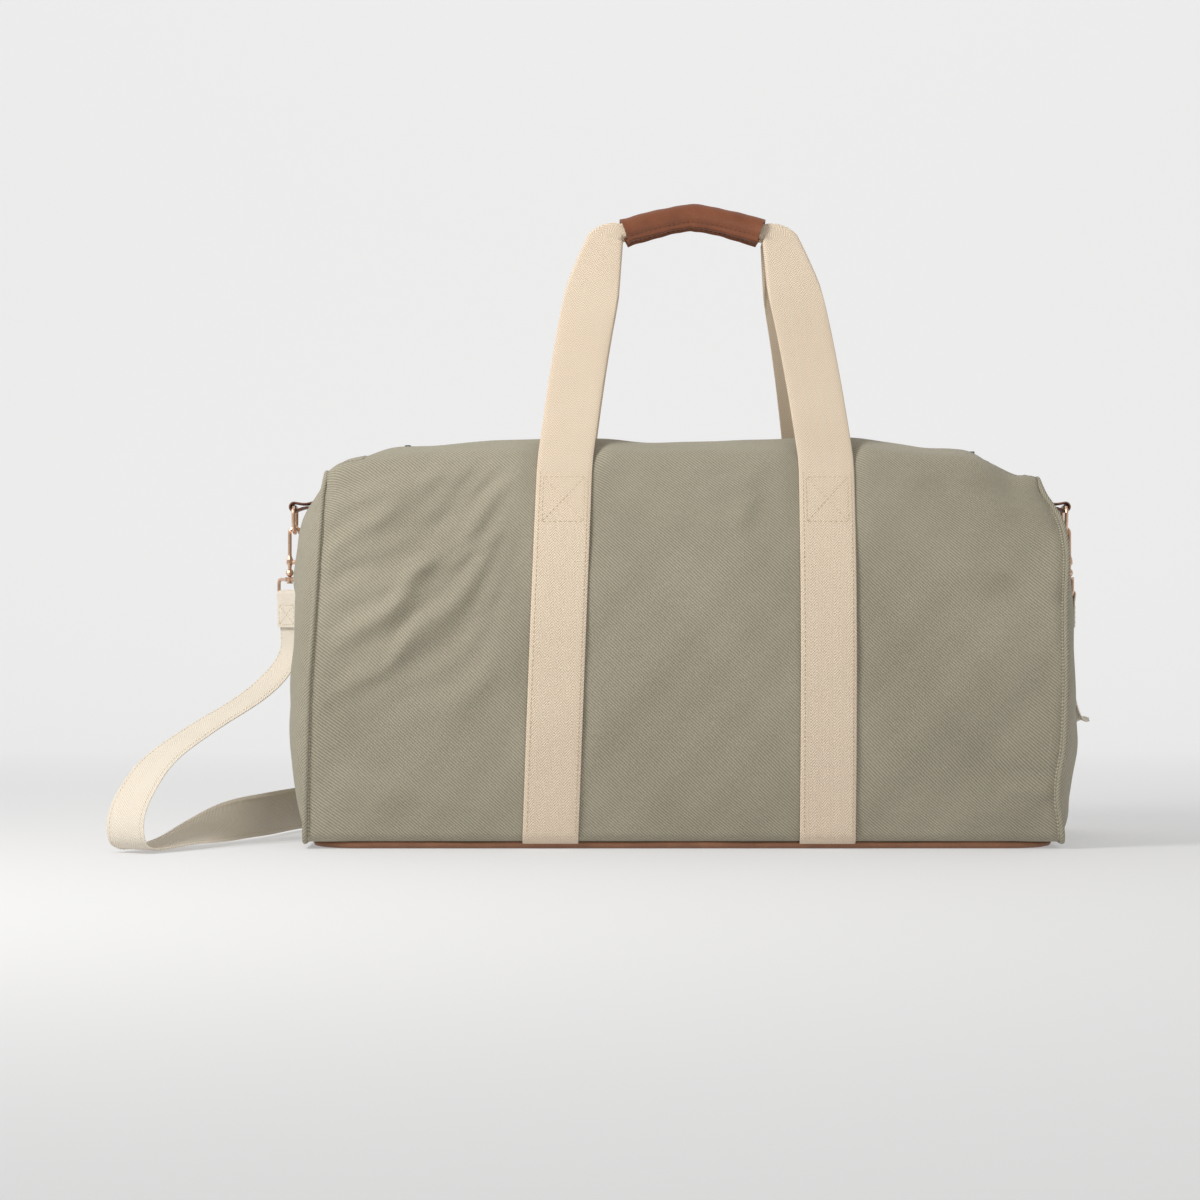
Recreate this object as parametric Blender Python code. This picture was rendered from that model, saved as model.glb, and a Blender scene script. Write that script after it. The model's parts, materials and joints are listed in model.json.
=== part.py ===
"""A canvas weekender duffel bag: zipped mouth, two webbing handles with leather grips,
a leather base and a long webbing shoulder strap on swivel snap hooks.

+X runs along the bag's length, -Y is the front, +Z is up. The origin is on the ground,
under the middle of the bag. Every length is in metres and every angle in degrees.
"""

from math import ceil, cos, pi, radians, sin

import bmesh
import bpy
from mathutils import Vector

# ---------------------------------------------------------------- driving dimensions
GAP = 0.0003  # clearance between pieces that touch

# bag body
SEAM_HALF_LENGTH = 0.2735  # middle of the bag to an end seam, at the ground
END_LEAN = 0.0175  # how far an end seam leans in on the way up
END_BULGE = 0.012  # how far an end panel swells past its seam
WIDEST_HALF_DEPTH = 0.135
WIDEST_HEIGHT = 0.120
FOOT_HALF_DEPTH = 0.1235
SHOULDER_HALF_DEPTH = 0.0975
SHOULDER_HEIGHT = 0.2812
CANVAS = 0.0022  # two plies of canvas and their interlining
CORNER_RADIUS = 0.008  # turn of the canvas where it goes under the bag
TURN_IN = 0.006  # flat of the turned-in canvas
PIPING_RADIUS = 0.0022

# base
BASE_THICKNESS = 0.003
BASE_INSET = 0.004
BASE_CORNER = 0.030
BOARD_THICKNESS = 0.002
BOARD_INSET = 0.016

# lining
LINING = 0.001
LINING_GAP = 0.0012
LINING_RIM_DROP = 0.012
LINING_CORNER = 0.018

# mouth
FOLD_SET_BACK = 0.0415  # end seam at the ground to the end of a mouth fold
MOUTH_HALF_LENGTH = SEAM_HALF_LENGTH - FOLD_SET_BACK
FOLD_HALF_DEPTH = SHOULDER_HALF_DEPTH - 0.0030
FOLD_HEIGHT = SHOULDER_HEIGHT + 0.0023
TOP_RISE = 0.007
TOP_CANVAS = 0.002
SLOT_HALF_WIDTH = 0.011  # from the middle to a top panel's inner edge

# zip
TAPE = 0.001
TAPE_HALF_WIDTH = 0.021
TAPE_INNER = 0.0028
ZIP_HALF_LENGTH = MOUTH_HALF_LENGTH - 0.012
TOOTH_PITCH = 0.005
TOOTH_WIDTH = 0.0019
TOOTH_HEIGHT = 0.0022
TOOTH_ROOT = 0.0048
TOOTH_SPINE = 0.0016
TOOTH_REACH = 0.0008
STOP_LENGTH = 0.004
SLIDER_LENGTH = 0.015
SLIDER_WIDTH = 0.011
SLIDER_PLATE = 0.0015
SLIDER_X = 0.015 - ZIP_HALF_LENGTH
BAIL_RADIUS = 0.00055
BAIL_HALF_SPAN = 0.0026
BAIL_HEIGHT = 0.0026
PULL_LENGTH = 0.034
PULL_WIDTH = 0.009
PULL_THICKNESS = 0.0011
PULL_BAR = 0.0011
PULL_SLOT = 0.0034

# carrying straps and handles
WEBBING_WIDTH = 0.040
WEBBING = 0.0022
STRAP_FOOT_SPREAD = 0.200
STRAP_TOP_SPREAD = 0.190
STRAP_FOOT_X = 0.004
STRAP_TOP_X = 0.0095
STRAP_TOP_HEIGHT = SHOULDER_HEIGHT - 0.0027
HANDLE_LENGTH = 0.2105  # from its hinge to the middle of its grip
HANDLE_REACH_IN = 0.0082  # how far short of the middle a leaning handle stops
GRIP_HALF_LENGTH = 0.052
GRIP_RISE = 0.0135
GRIP_WIDTH = 0.016
GRIP_DEPTH = 0.012
GRIP_BORE_WIDTH = 0.0132
GRIP_BORE_DEPTH = 0.0066
GRIP_SQUARENESS = 0.85  # exponent of the section's curve: lower is squarer
BORE_SQUARENESS = 0.4
GRIP_MOUTH_GAP = 0.0012
FOLDED_WIDTH = 0.0115
FOLDED_DEPTH = 0.0044
LEG_TOP_WIDTH = 0.0155
LEG_TOP_DEPTH = 0.0040
MOST_TURN = 76.0  # the webbing's turn from a grip's end to its leg
HANDLE_NARROWS_AT = 0.115  # distance from the hinge where the webbing starts to fold

# end hardware
RING_X = SEAM_HALF_LENGTH + 0.0165
RING_BAR_HEIGHT = SHOULDER_HEIGHT - 0.0317
RING_WIRE = 0.0015
RING_HALF_WIDTH = 0.0140
RING_DROP = 0.0195
TAB_WIDTH = 0.020
TAB_LEATHER = 0.0018
TAB_TOP = RING_BAR_HEIGHT + 0.0185
TAB_FOOT = RING_BAR_HEIGHT - 0.0120
HOOK_WIRE = 0.0014
HOOK_RADIUS = 0.0039
HOOK_OPENING = 0.020  # ring wire to the foot of the hook's opening
GATE_RADIUS = 0.0011
BALL_RADIUS = 0.0030
POST_RADIUS = 0.0012
POST_HEAD = 0.0023
STEM_DROP = 0.0100  # foot of the opening to the middle of the ball
LOOP_WIRE = 0.0013
LOOP_INNER_WIDTH = 0.033
LOOP_HEIGHT = 0.0115
COLLAR_RADIUS = 0.0036
COLLAR_HEIGHT = 0.0034
COLLAR_CLEARANCE = 0.0004
LEFT_LOOP_TURN = 32.0  # about the vertical, from square to the bag's end

# shoulder strap
SHOULDER_WIDTH = 0.032
SHOULDER_WEBBING = 0.0018
END_TAB_DROP = 0.020  # sewn end below the loop's bar
ADJUSTER_RAIL = 0.0024
ADJUSTER_LENGTH = 0.030
ADJUSTER_X = 0.100
STRAP_REAR_Y = WIDEST_HALF_DEPTH + 0.055  # where the strap lies behind the bag

STATIONS = 12  # up the side of the bag
ROUND = 8  # sides of a wire


# ---------------------------------------------------------------- materials
def material(name, colour, roughness, metallic=0.0):
    made = bpy.data.materials.new(name)
    made.use_nodes = True
    shader = made.node_tree.nodes["Principled BSDF"]
    shader.inputs["Base Color"].default_value = (*colour, 1.0)
    shader.inputs["Roughness"].default_value = roughness
    shader.inputs["Metallic"].default_value = metallic
    made.diffuse_color = (*colour, 1.0)
    return made


# ---------------------------------------------------------------- making solids
def add_object(name, bm, surface, smooth=False, origin=None):
    """An object from a closed bmesh in world space, with its origin moved to origin."""
    bmesh.ops.recalc_face_normals(bm, faces=bm.faces)
    if bm.calc_volume(signed=True) < 0:
        bmesh.ops.reverse_faces(bm, faces=bm.faces)
    at = Vector(origin) if origin is not None else Vector((0, 0, 0))
    bmesh.ops.translate(bm, verts=bm.verts, vec=-at)
    mesh = bpy.data.meshes.new(name)
    bm.to_mesh(mesh)
    bm.free()
    if smooth:
        mesh.shade_smooth()
        mesh.set_sharp_from_angle(angle=radians(35))
    made = bpy.data.objects.new(name, mesh)
    made.data.materials.append(surface)
    made.location = at
    bpy.context.scene.collection.objects.link(made)
    return made


def loft(loops, ring=False):
    """A bmesh through loops of equal length: capped at both ends, or joined in a ring."""
    bm = bmesh.new()
    rows = [[bm.verts.new(p) for p in loop] for loop in loops]
    size = len(rows[0])
    pairs = list(zip(rows, rows[1:]))
    if ring:
        pairs.append((rows[-1], rows[0]))
    for low, high in pairs:
        for i in range(size):
            j = (i + 1) % size
            bm.faces.new((low[i], low[j], high[j], high[i]))
    if not ring:
        bm.faces.new(rows[0])
        bm.faces.new(rows[-1])
    return bm


def slab(outer, inner):
    """A closed bmesh between two grids of points of the same shape."""
    bm = bmesh.new()
    grids = [[[bm.verts.new(p) for p in row] for row in grid] for grid in (outer, inner)]
    rows, columns = len(outer), len(outer[0])
    for grid in grids:
        for r in range(rows - 1):
            for c in range(columns - 1):
                bm.faces.new(
                    (grid[r][c], grid[r][c + 1], grid[r + 1][c + 1], grid[r + 1][c])
                )
    rim = [(0, c) for c in range(columns)]
    rim += [(r, columns - 1) for r in range(1, rows)]
    rim += [(rows - 1, c) for c in range(columns - 2, -1, -1)]
    rim += [(r, 0) for r in range(rows - 2, 0, -1)]
    for (r, c), (s, d) in zip(rim, rim[1:] + rim[:1]):
        bm.faces.new((grids[0][r][c], grids[0][s][d], grids[1][s][d], grids[1][r][c]))
    return bm


def plate(outline, z_low, z_high):
    """A closed bmesh over a flat outline of (x, y) points."""
    return loft([[(x, y, z) for x, y in outline] for z in (z_low, z_high)])


def slotted_plate(outer, slot, z_low, z_high):
    """A flat plate with one hole: both outlines have the same number of (x, y) points."""
    order = ((outer, z_low), (outer, z_high), (slot, z_high), (slot, z_low))
    return loft([[(x, y, z) for x, y in line] for line, z in order], ring=True)


def circle(centre, across, up, radius, sides=ROUND):
    turn = [2 * pi * i / sides for i in range(sides)]
    return [centre + across * cos(t) * radius + up * sin(t) * radius for t in turn]


def directions(path, ring=False):
    """The unit direction of travel at each point of a path."""
    last = len(path) - 1
    found = []
    for i in range(len(path)):
        before = path[i - 1] if ring or i else path[0]
        after = path[(i + 1) % len(path)] if ring or i < last else path[last]
        found.append((after - before).normalized())
    return found


def wire(path, radii, side, ring=False, sides=ROUND):
    """A round bar along a path that is flat, square to the vector side."""
    loops = []
    for point, along, radius in zip(path, directions(path, ring), radii):
        loops.append(circle(point, side, along.cross(side).normalized(), radius, sides))
    return loft(loops, ring)


def ribbon(path, widths, thicknesses, ring=False):
    """A flat band: widths and thicknesses are half-size vectors at each point."""
    loops = [
        [p - w - t, p + w - t, p + w + t, p - w + t]
        for p, w, t in zip(path, widths, thicknesses)
    ]
    return loft(loops, ring)


def arc(centre, radius, start, end, count, across, up):
    """Points on an arc, from the angle start to the angle end."""
    turns = [radians(start + (end - start) * i / count) for i in range(count + 1)]
    return [centre + across * (radius * cos(t)) + up * (radius * sin(t)) for t in turns]


def rounded_box(half_x, half_y, corner, steps=4):
    """The outline of a rectangle with round corners."""
    points = []
    for k, (sx, sy) in enumerate(((1, 1), (-1, 1), (-1, -1), (1, -1))):
        for i in range(steps + 1):
            t = radians(90 * k + 90 * i / steps)
            x = sx * (half_x - corner) + corner * cos(t)
            points.append((x, sy * (half_y - corner) + corner * sin(t)))
    return points


def merge(kept, added):
    """kept takes in the solid added, which stays behind as a guide."""
    added.hide_render = True
    added.display_type = "WIRE"
    union = kept.modifiers.new("Union", "BOOLEAN")
    union.operation = "UNION"
    union.solver = "EXACT"
    union.object = added


def cut(kept, cutter):
    """The solid cutter is taken out of kept."""
    cutter.hide_render = True
    cutter.display_type = "WIRE"
    hole = kept.modifiers.new("Cut", "BOOLEAN")
    hole.operation = "DIFFERENCE"
    hole.solver = "EXACT"
    hole.object = cutter


EAST, NORTH, UP = Vector((1, 0, 0)), Vector((0, 1, 0)), Vector((0, 0, 1))


# ---------------------------------------------------------------- shape of the bag
def seam_x(z):
    """Half the bag's length at an end seam, at height z."""
    return SEAM_HALF_LENGTH - END_LEAN * (z / SHOULDER_HEIGHT) ** 3


def half_depth(z):
    """Half the bag's depth at height z."""
    if z < WIDEST_HEIGHT:
        slack = WIDEST_HALF_DEPTH - FOOT_HALF_DEPTH
        return WIDEST_HALF_DEPTH - slack * (1 - z / WIDEST_HEIGHT) ** 2
    slack = WIDEST_HALF_DEPTH - SHOULDER_HALF_DEPTH
    rise = (z - WIDEST_HEIGHT) / (SHOULDER_HEIGHT - WIDEST_HEIGHT)
    return WIDEST_HALF_DEPTH - slack * rise**2.2


def top_height(y):
    """The middle of the top canvas above the point y."""
    return FOLD_HEIGHT + TOP_RISE * (1 - min(1, abs(y) / FOLD_HALF_DEPTH) ** 2)


FOOT_HEIGHT = BASE_THICKNESS + GAP + CANVAS / 2


def side_profile():
    """(depth, height) up the middle of the side canvas, from the turned-in edge."""
    low = FOOT_HEIGHT + CORNER_RADIUS
    foot = half_depth(low)
    points = [(foot - CORNER_RADIUS - TURN_IN, FOOT_HEIGHT)]
    for i in range(4):
        t = radians(-90 + 90 * i / 4)
        points.append(
            (foot - CORNER_RADIUS + CORNER_RADIUS * cos(t), low + CORNER_RADIUS * sin(t))
        )
    for i in range(STATIONS + 1):
        z = low + (SHOULDER_HEIGHT - low) * i / STATIONS
        points.append((half_depth(z), z))
    return points


def offset_profile(points, distance):
    """A profile moved outwards by a distance, square to itself."""
    moved = []
    for i, (d, z) in enumerate(points):
        a, b = points[max(0, i - 1)], points[min(len(points) - 1, i + 1)]
        along = Vector((b[0] - a[0], b[1] - a[1])).normalized()
        moved.append((d + along.y * distance, z - along.x * distance))
    return moved


SIDE = side_profile()


def side_panel(name, front, surface):
    """One long side of the bag: canvas between the two end seams."""
    grids = []
    for lift in (CANVAS / 2, -CANVAS / 2):
        grid = []
        for (d, z), (_, level) in zip(offset_profile(SIDE, lift), SIDE):
            edge = seam_x(level) - PIPING_RADIUS - GAP
            grid.append([Vector((x, front * d, z)) for x in (-edge, 0, edge)])
        grids.append(grid)
    return add_object(name, slab(*grids), surface, smooth=True)


# the end panel's edge stays clear of the piping all round
END_INSET = PIPING_RADIUS + GAP + CANVAS / 2
END_LOW = FOOT_HEIGHT + END_INSET
END_HIGH = SHOULDER_HEIGHT - END_INSET / 2


def end_point(across, rise):
    """A point on an end panel's outer face: across from -1 to 1, rise from 0 to 1."""
    level = END_LOW + (END_HIGH - END_LOW) * rise
    arch = top_height(0) - FOLD_HEIGHT
    y = across * (half_depth(level) - END_INSET)
    z = level + arch * (1 - across**2) * rise**4
    swell = END_BULGE * (1 - across**2) * sin(pi * rise**0.85)
    return Vector((seam_x(z) + GAP + swell, y, z))


def end_surface_x(z):
    """How far out the middle of an end panel is at height z."""
    low, high = 0.0, 1.0
    for _ in range(30):
        middle = (low + high) / 2
        if end_point(0, middle).z < z:
            low = middle
        else:
            high = middle
    return end_point(0, low).x


def end_panel(name, end, surface):
    """One end of the bag: canvas that swells out past its seam."""
    across = [-1 + 2 * i / 8 for i in range(9)]
    rises = [i / 12 for i in range(13)]
    outer = [[end_point(a, r) for a in across] for r in rises]
    inner = [[p - EAST * CANVAS for p in row] for row in outer]
    grids = [
        [[Vector((end * p.x, p.y, p.z)) for p in row] for row in grid]
        for grid in (outer, inner)
    ]
    return add_object(name, slab(*grids), surface, smooth=True)


def end_outline():
    """(y, z) all the way round the bag's end, at the middle of the canvas."""
    side = SIDE[:-1]
    steps = 10
    shoulder = 1.02 * FOLD_HALF_DEPTH
    depths = [shoulder * (1 - 2 * i / steps) for i in range(steps + 1)]
    top = [(y, top_height(y)) for y in depths]
    front = [(-d, z) for d, z in reversed(side)]
    return side + top + front


def end_piping(name, end, surface):
    """The round self-fabric welt in an end seam."""
    outline = end_outline()
    path = [Vector((end * seam_x(z), y, z)) for y, z in outline]
    middle = Vector((end * SEAM_HALF_LENGTH, 0, WIDEST_HEIGHT))
    loops = []
    for point, along in zip(path, directions(path, ring=True)):
        out = (point - middle).normalized()
        side = along.cross(out).normalized()
        out = side.cross(along).normalized()
        loops.append(circle(point, side, out, PIPING_RADIUS, ROUND))
    return add_object(name, loft(loops, ring=True), surface, smooth=True)


def base_panel(name, surface):
    half_x = SEAM_HALF_LENGTH - PIPING_RADIUS - BASE_INSET
    outline = rounded_box(half_x, FOOT_HALF_DEPTH - BASE_INSET, BASE_CORNER)
    return add_object(name, plate(outline, 0.0, BASE_THICKNESS), surface)


def base_board(name, surface):
    low = FOOT_HEIGHT + CANVAS / 2 + GAP
    half_x = SEAM_HALF_LENGTH - BOARD_INSET
    outline = rounded_box(half_x, FOOT_HALF_DEPTH - BOARD_INSET, BASE_CORNER)
    return add_object(name, plate(outline, low, low + BOARD_THICKNESS), surface)


def lining_loop(z, inset):
    """The lining's outline at height z, inset from the middle of the canvas."""
    edge = rounded_box(seam_x(z) - inset, half_depth(z) - inset, LINING_CORNER)
    return [Vector((x, y, z)) for x, y in edge]


def lining(name, surface):
    """The loose inner bag: a thin tub, open at the top, standing on the base board."""
    floor = FOOT_HEIGHT + CANVAS / 2 + 2 * GAP + BOARD_THICKNESS
    rim = SHOULDER_HEIGHT - LINING_RIM_DROP
    steps = 8
    foot_inset = CANVAS / 2 + LINING_GAP + CORNER_RADIUS / 2
    heights = [floor + (rim - floor) * i / steps for i in range(steps + 1)]
    insets = [foot_inset] + [CANVAS / 2 + LINING_GAP + PIPING_RADIUS] * steps
    outside = [lining_loop(z, inset) for z, inset in zip(heights, insets)]
    inside = [
        lining_loop(max(z, floor + LINING), inset + LINING)
        for z, inset in zip(heights, insets)
    ]
    return add_object(name, loft(outside + inside[::-1]), surface, smooth=True)


# ---------------------------------------------------------------- mouth and zip
def top_profile(inner_edge, outer_edge=FOLD_HALF_DEPTH, steps=5):
    """(depth, height) over the top canvas, from the fold towards the zip."""
    depths = [outer_edge + (inner_edge - outer_edge) * i / steps for i in range(steps + 1)]
    return [(d, top_height(d)) for d in depths]


def top_panel(name, front, surface):
    """One half of the zipped top, which hinges up about the bag's shoulder fold."""
    grids = []
    for lift in (TOP_CANVAS / 2, -TOP_CANVAS / 2):
        grid = []
        for d, z in top_profile(SLOT_HALF_WIDTH):
            grid.append(
                [Vector((x * MOUTH_HALF_LENGTH, front * d, z + lift)) for x in (-1, 1)]
            )
        grids.append(grid)
    fold = (0, front * FOLD_HALF_DEPTH, FOLD_HEIGHT)
    return add_object(name, slab(*grids), surface, smooth=True, origin=fold)


def top_gusset(name, end, surface):
    """The fixed canvas past an end of the zip."""
    edge = FOLD_HALF_DEPTH - CANVAS
    depths = [edge * (-1 + 2 * i / 8) for i in range(9)]
    grids = []
    for lift in (TOP_CANVAS / 2, -TOP_CANVAS / 2):
        grid = []
        for d in depths:
            z = top_height(d)
            stop = seam_x(z) - PIPING_RADIUS - GAP
            start = MOUTH_HALF_LENGTH + GAP
            grid.append([Vector((end * x, d, z + lift)) for x in (start, stop)])
        grids.append(grid)
    return add_object(name, slab(*grids), surface, smooth=True)


TAPE_TOP = min(top_height(SLOT_HALF_WIDTH), top_height(TAPE_HALF_WIDTH))
TAPE_TOP -= TOP_CANVAS / 2 + GAP
TOOTH_LOW = TAPE_TOP + GAP
TOOTH_HIGH = TOOTH_LOW + TOOTH_HEIGHT


def zip_tape(name, front, surface):
    outline = [
        (-MOUTH_HALF_LENGTH, front * TAPE_INNER),
        (MOUTH_HALF_LENGTH, front * TAPE_INNER),
        (MOUTH_HALF_LENGTH, front * TAPE_HALF_WIDTH),
        (-MOUTH_HALF_LENGTH, front * TAPE_HALF_WIDTH),
    ]
    made = plate(outline, TAPE_TOP - TAPE, TAPE_TOP)
    return add_object(name, made, surface, origin=(0, front * FOLD_HALF_DEPTH, FOLD_HEIGHT))


def zip_teeth(name, front, surface):
    """One side's row of teeth on its spine, half a pitch off the other side's row."""
    count = int(2 * (ZIP_HALF_LENGTH - STOP_LENGTH) / TOOTH_PITCH) - 1
    start = -(count - 1) * TOOTH_PITCH / 2 + front * TOOTH_PITCH / 4
    tip, throat = -front * TOOTH_REACH, front * TOOTH_SPINE
    half = TOOTH_WIDTH / 2
    ends = (start - half, start + (count - 1) * TOOTH_PITCH + half)
    outline = [(ends[1], front * TOOTH_ROOT), (ends[0], front * TOOTH_ROOT)]
    for i in range(count):
        x = start + i * TOOTH_PITCH
        outline += [(x - half, throat)] if i else []
        outline += [(x - half, tip), (x + half, tip)]
        outline += [(x + half, throat)] if i < count - 1 else []
    made = plate(outline, TOOTH_LOW, TOOTH_HIGH)
    return add_object(name, made, surface, origin=(0, front * FOLD_HALF_DEPTH, FOLD_HEIGHT))


def zip_stop(name, end, front, surface):
    """The clamp that ends the row of teeth, on one tape."""
    x = end * ZIP_HALF_LENGTH
    outline = rounded_box(STOP_LENGTH / 2, (TOOTH_ROOT - GAP) / 2, 0.0008, 2)
    middle = front * (TOOTH_ROOT + GAP) / 2
    made = plate([(x + a, middle + b) for a, b in outline], TOOTH_LOW, TOOTH_HIGH)
    return add_object(name, made, surface, origin=(0, front * FOLD_HALF_DEPTH, FOLD_HEIGHT))


PLATE_LOW = TOOTH_HIGH + GAP
PLATE_HIGH = PLATE_LOW + SLIDER_PLATE
PULL_AXIS_HEIGHT = PLATE_HIGH + BAIL_HEIGHT / 2


def zip_slider(name, surface):
    """The slider: its upper shield, waisted towards the closed end, with a wire bail."""
    half, wide = SLIDER_LENGTH / 2, SLIDER_WIDTH / 2
    shield = [(-half, wide * 0.62), (-half * 0.5, wide * 0.72), (half * 0.1, wide)]
    shield += [(half * 0.8, wide), (half, wide * 0.7)]
    outline = [(SLIDER_X + x, y) for x, y in shield]
    outline += [(SLIDER_X + x, -y) for x, y in reversed(shield)]
    slider = add_object(name, plate(outline, PLATE_LOW, PLATE_HIGH), surface)
    foot = Vector((SLIDER_X, 0, PLATE_HIGH - SLIDER_PLATE / 2))
    lift = BAIL_HEIGHT + SLIDER_PLATE / 2 - BAIL_HALF_SPAN / 2
    corner = BAIL_HALF_SPAN / 2
    path = [foot - EAST * BAIL_HALF_SPAN]
    crown = foot + UP * lift
    path += arc(crown - EAST * corner, corner, 180, 90, 3, EAST, UP)
    path += arc(crown + EAST * corner, corner, 90, 0, 3, EAST, UP)
    path += [foot + EAST * BAIL_HALF_SPAN]
    bail = wire(path, [BAIL_RADIUS] * len(path), NORTH)
    merge(slider, add_object("bail_guide", bail, surface))
    return slider


def stadium(x_low, x_high, half_width, steps=4):
    """The outline of a strip with round ends."""
    r = min(half_width, (x_high - x_low) / 2)
    points = []
    for centre, start in ((x_high - r, -90), (x_low + r, 90)):
        for i in range(steps + 1):
            t = radians(start + 180 * i / steps)
            points.append((centre + r * cos(t), half_width * sin(t)))
    return points


def zip_pull(name, surface):
    """A flat metal pull, held by the bail through its slot, lying along the zip."""
    back = SLIDER_X - PULL_BAR / 2
    outer = stadium(back, back + PULL_LENGTH, PULL_WIDTH / 2)
    slot = stadium(SLIDER_X + PULL_BAR / 2, SLIDER_X + PULL_BAR / 2 + PULL_SLOT, 0.0022)
    half = PULL_THICKNESS / 2
    axis = (SLIDER_X, 0, PULL_AXIS_HEIGHT)
    made = slotted_plate(outer, slot, PULL_AXIS_HEIGHT - half, PULL_AXIS_HEIGHT + half)
    return add_object(name, made, surface, origin=axis)


# ---------------------------------------------------------------- straps and handles
def strap_x(side, z):
    """The middle of a sewn strap at height z, on the bag's left (-1) or right (1)."""
    rise = z / SHOULDER_HEIGHT
    spread = STRAP_FOOT_SPREAD + (STRAP_TOP_SPREAD - STRAP_FOOT_SPREAD) * rise
    return STRAP_FOOT_X + (STRAP_TOP_X - STRAP_FOOT_X) * rise + side * spread / 2


def strap_profile():
    """(depth, height) up the middle of a sewn strap, outside the canvas."""
    lifted = offset_profile(SIDE, CANVAS / 2 + GAP + WEBBING / 2)
    return lifted[2:-1]


STRAP = strap_profile()


def strap_end_point():
    """(depth, height) of the strap's last point, just short of the handle's hinge."""
    (d0, z0), (d1, z1) = STRAP[-1], offset_profile(SIDE, CANVAS / 2 + GAP + WEBBING / 2)[-1]
    share = (STRAP_TOP_HEIGHT - z0) / (z1 - z0)
    return Vector((d0 + (d1 - d0) * share, STRAP_TOP_HEIGHT))


def handle_hinge():
    """(depth, height) of a handle's hinge, above the sewn straps' ends."""
    end = strap_end_point()
    along = (end - Vector(STRAP[-1])).normalized()
    return end + along * (WEBBING / 2 + 2 * GAP)


def sewn_strap(name, front, side, surface):
    """Webbing sewn up the bag's face, from under the base to the handle's hinge."""
    points = [Vector(p) for p in STRAP] + [strap_end_point()]
    out = []
    for a, b in zip([points[0]] + points[:-1], points[1:] + [points[-1]]):
        along = (b - a).normalized()
        out.append(Vector((0, front * along.y, -along.x)) * (WEBBING / 2))
    path = [Vector((strap_x(side, p.y), front * p.x, p.y)) for p in points]
    widths = [EAST * (WEBBING_WIDTH / 2)] * len(path)
    return add_object(name, ribbon(path, widths, out), surface, smooth=True)


def handle_frame(front):
    """A handle's hinge point, and the unit vectors up its leaning plane and out of it."""
    depth, height = handle_hinge()
    reach = depth - HANDLE_REACH_IN
    rise = (HANDLE_LENGTH**2 - reach**2) ** 0.5
    hinge = Vector((STRAP_TOP_X, front * depth, height))
    up = Vector((0, -front * reach, rise)).normalized()
    return hinge, up, up.cross(EAST) * -front


def grip_curve(share):
    """(across, up) along the grip, for a share from -1 to 1 of its half length."""
    return (share * GRIP_HALF_LENGTH, HANDLE_LENGTH - GRIP_RISE * abs(share) ** 1.35)


def handle_sections():
    """Sections up one leg and along half the grip: middle, way across, width and depth."""
    end_across, end_up = grip_curve(1)
    pivot = Vector((end_across + GRIP_MOUTH_GAP, end_up - FOLDED_WIDTH / 2))
    sections = []
    turns = (MOST_TURN, 0.72 * MOST_TURN, 0.4 * MOST_TURN, 0.0)
    for i, turn in enumerate(turns):
        share = 1 - i / (len(turns) - 1)
        width = FOLDED_WIDTH + (LEG_TOP_WIDTH - FOLDED_WIDTH) * share
        depth = FOLDED_DEPTH + (LEG_TOP_DEPTH - FOLDED_DEPTH) * share
        way = Vector((sin(radians(turn)), cos(radians(turn))))
        sections.append((pivot + way * (width / 2), way, width, depth))
    top = sections[0][0]
    spread = STRAP_TOP_SPREAD / 2
    leg = []
    count = 11
    for i in range(count):
        share = i / count
        lean = (spread - top.x) * (0.72 * share + 0.28 * share**3)
        up = top.y * share
        fold = max(0.0, (up - HANDLE_NARROWS_AT) / (top.y - HANDLE_NARROWS_AT))
        ease = fold * fold * (3 - 2 * fold)
        width = WEBBING_WIDTH + (LEG_TOP_WIDTH - WEBBING_WIDTH) * ease
        depth = WEBBING + (LEG_TOP_DEPTH - WEBBING) * ease
        tilt = radians(90 - (90 - MOST_TURN) * share)
        way = Vector((sin(tilt), cos(tilt)))
        leg.append((Vector((spread - lean, up)), way, width, depth))
    arch = []
    for i in range(6):
        share = 1 - i / 5
        here = Vector(grip_curve(share))
        before, after = Vector(grip_curve(share - 0.02)), Vector(grip_curve(share + 0.02))
        along = (after - before).normalized() if share else Vector((1, 0))
        arch.append((here, Vector((-along.y, along.x)), FOLDED_WIDTH, FOLDED_DEPTH))
    return leg + sections + arch


def handle_webbing(name, front, surface):
    """The loop of a handle: flat webbing that folds to fit inside its grip."""
    hinge, up, out = handle_frame(front)
    half = handle_sections()
    both = [(s, 1) for s in half] + [(s, -1) for s in half[-2::-1]]
    loops = []
    for (middle, way, width, depth), side in both:
        centre = hinge + EAST * (side * middle.x) + up * middle.y
        w = (EAST * (side * way.x) + up * way.y) * (width / 2)
        t = out * (depth / 2)
        loops.append([centre - w - t, centre + w - t, centre + w + t, centre - w + t])
    return add_object(name, loft(loops), surface, smooth=True, origin=hinge)


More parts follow.
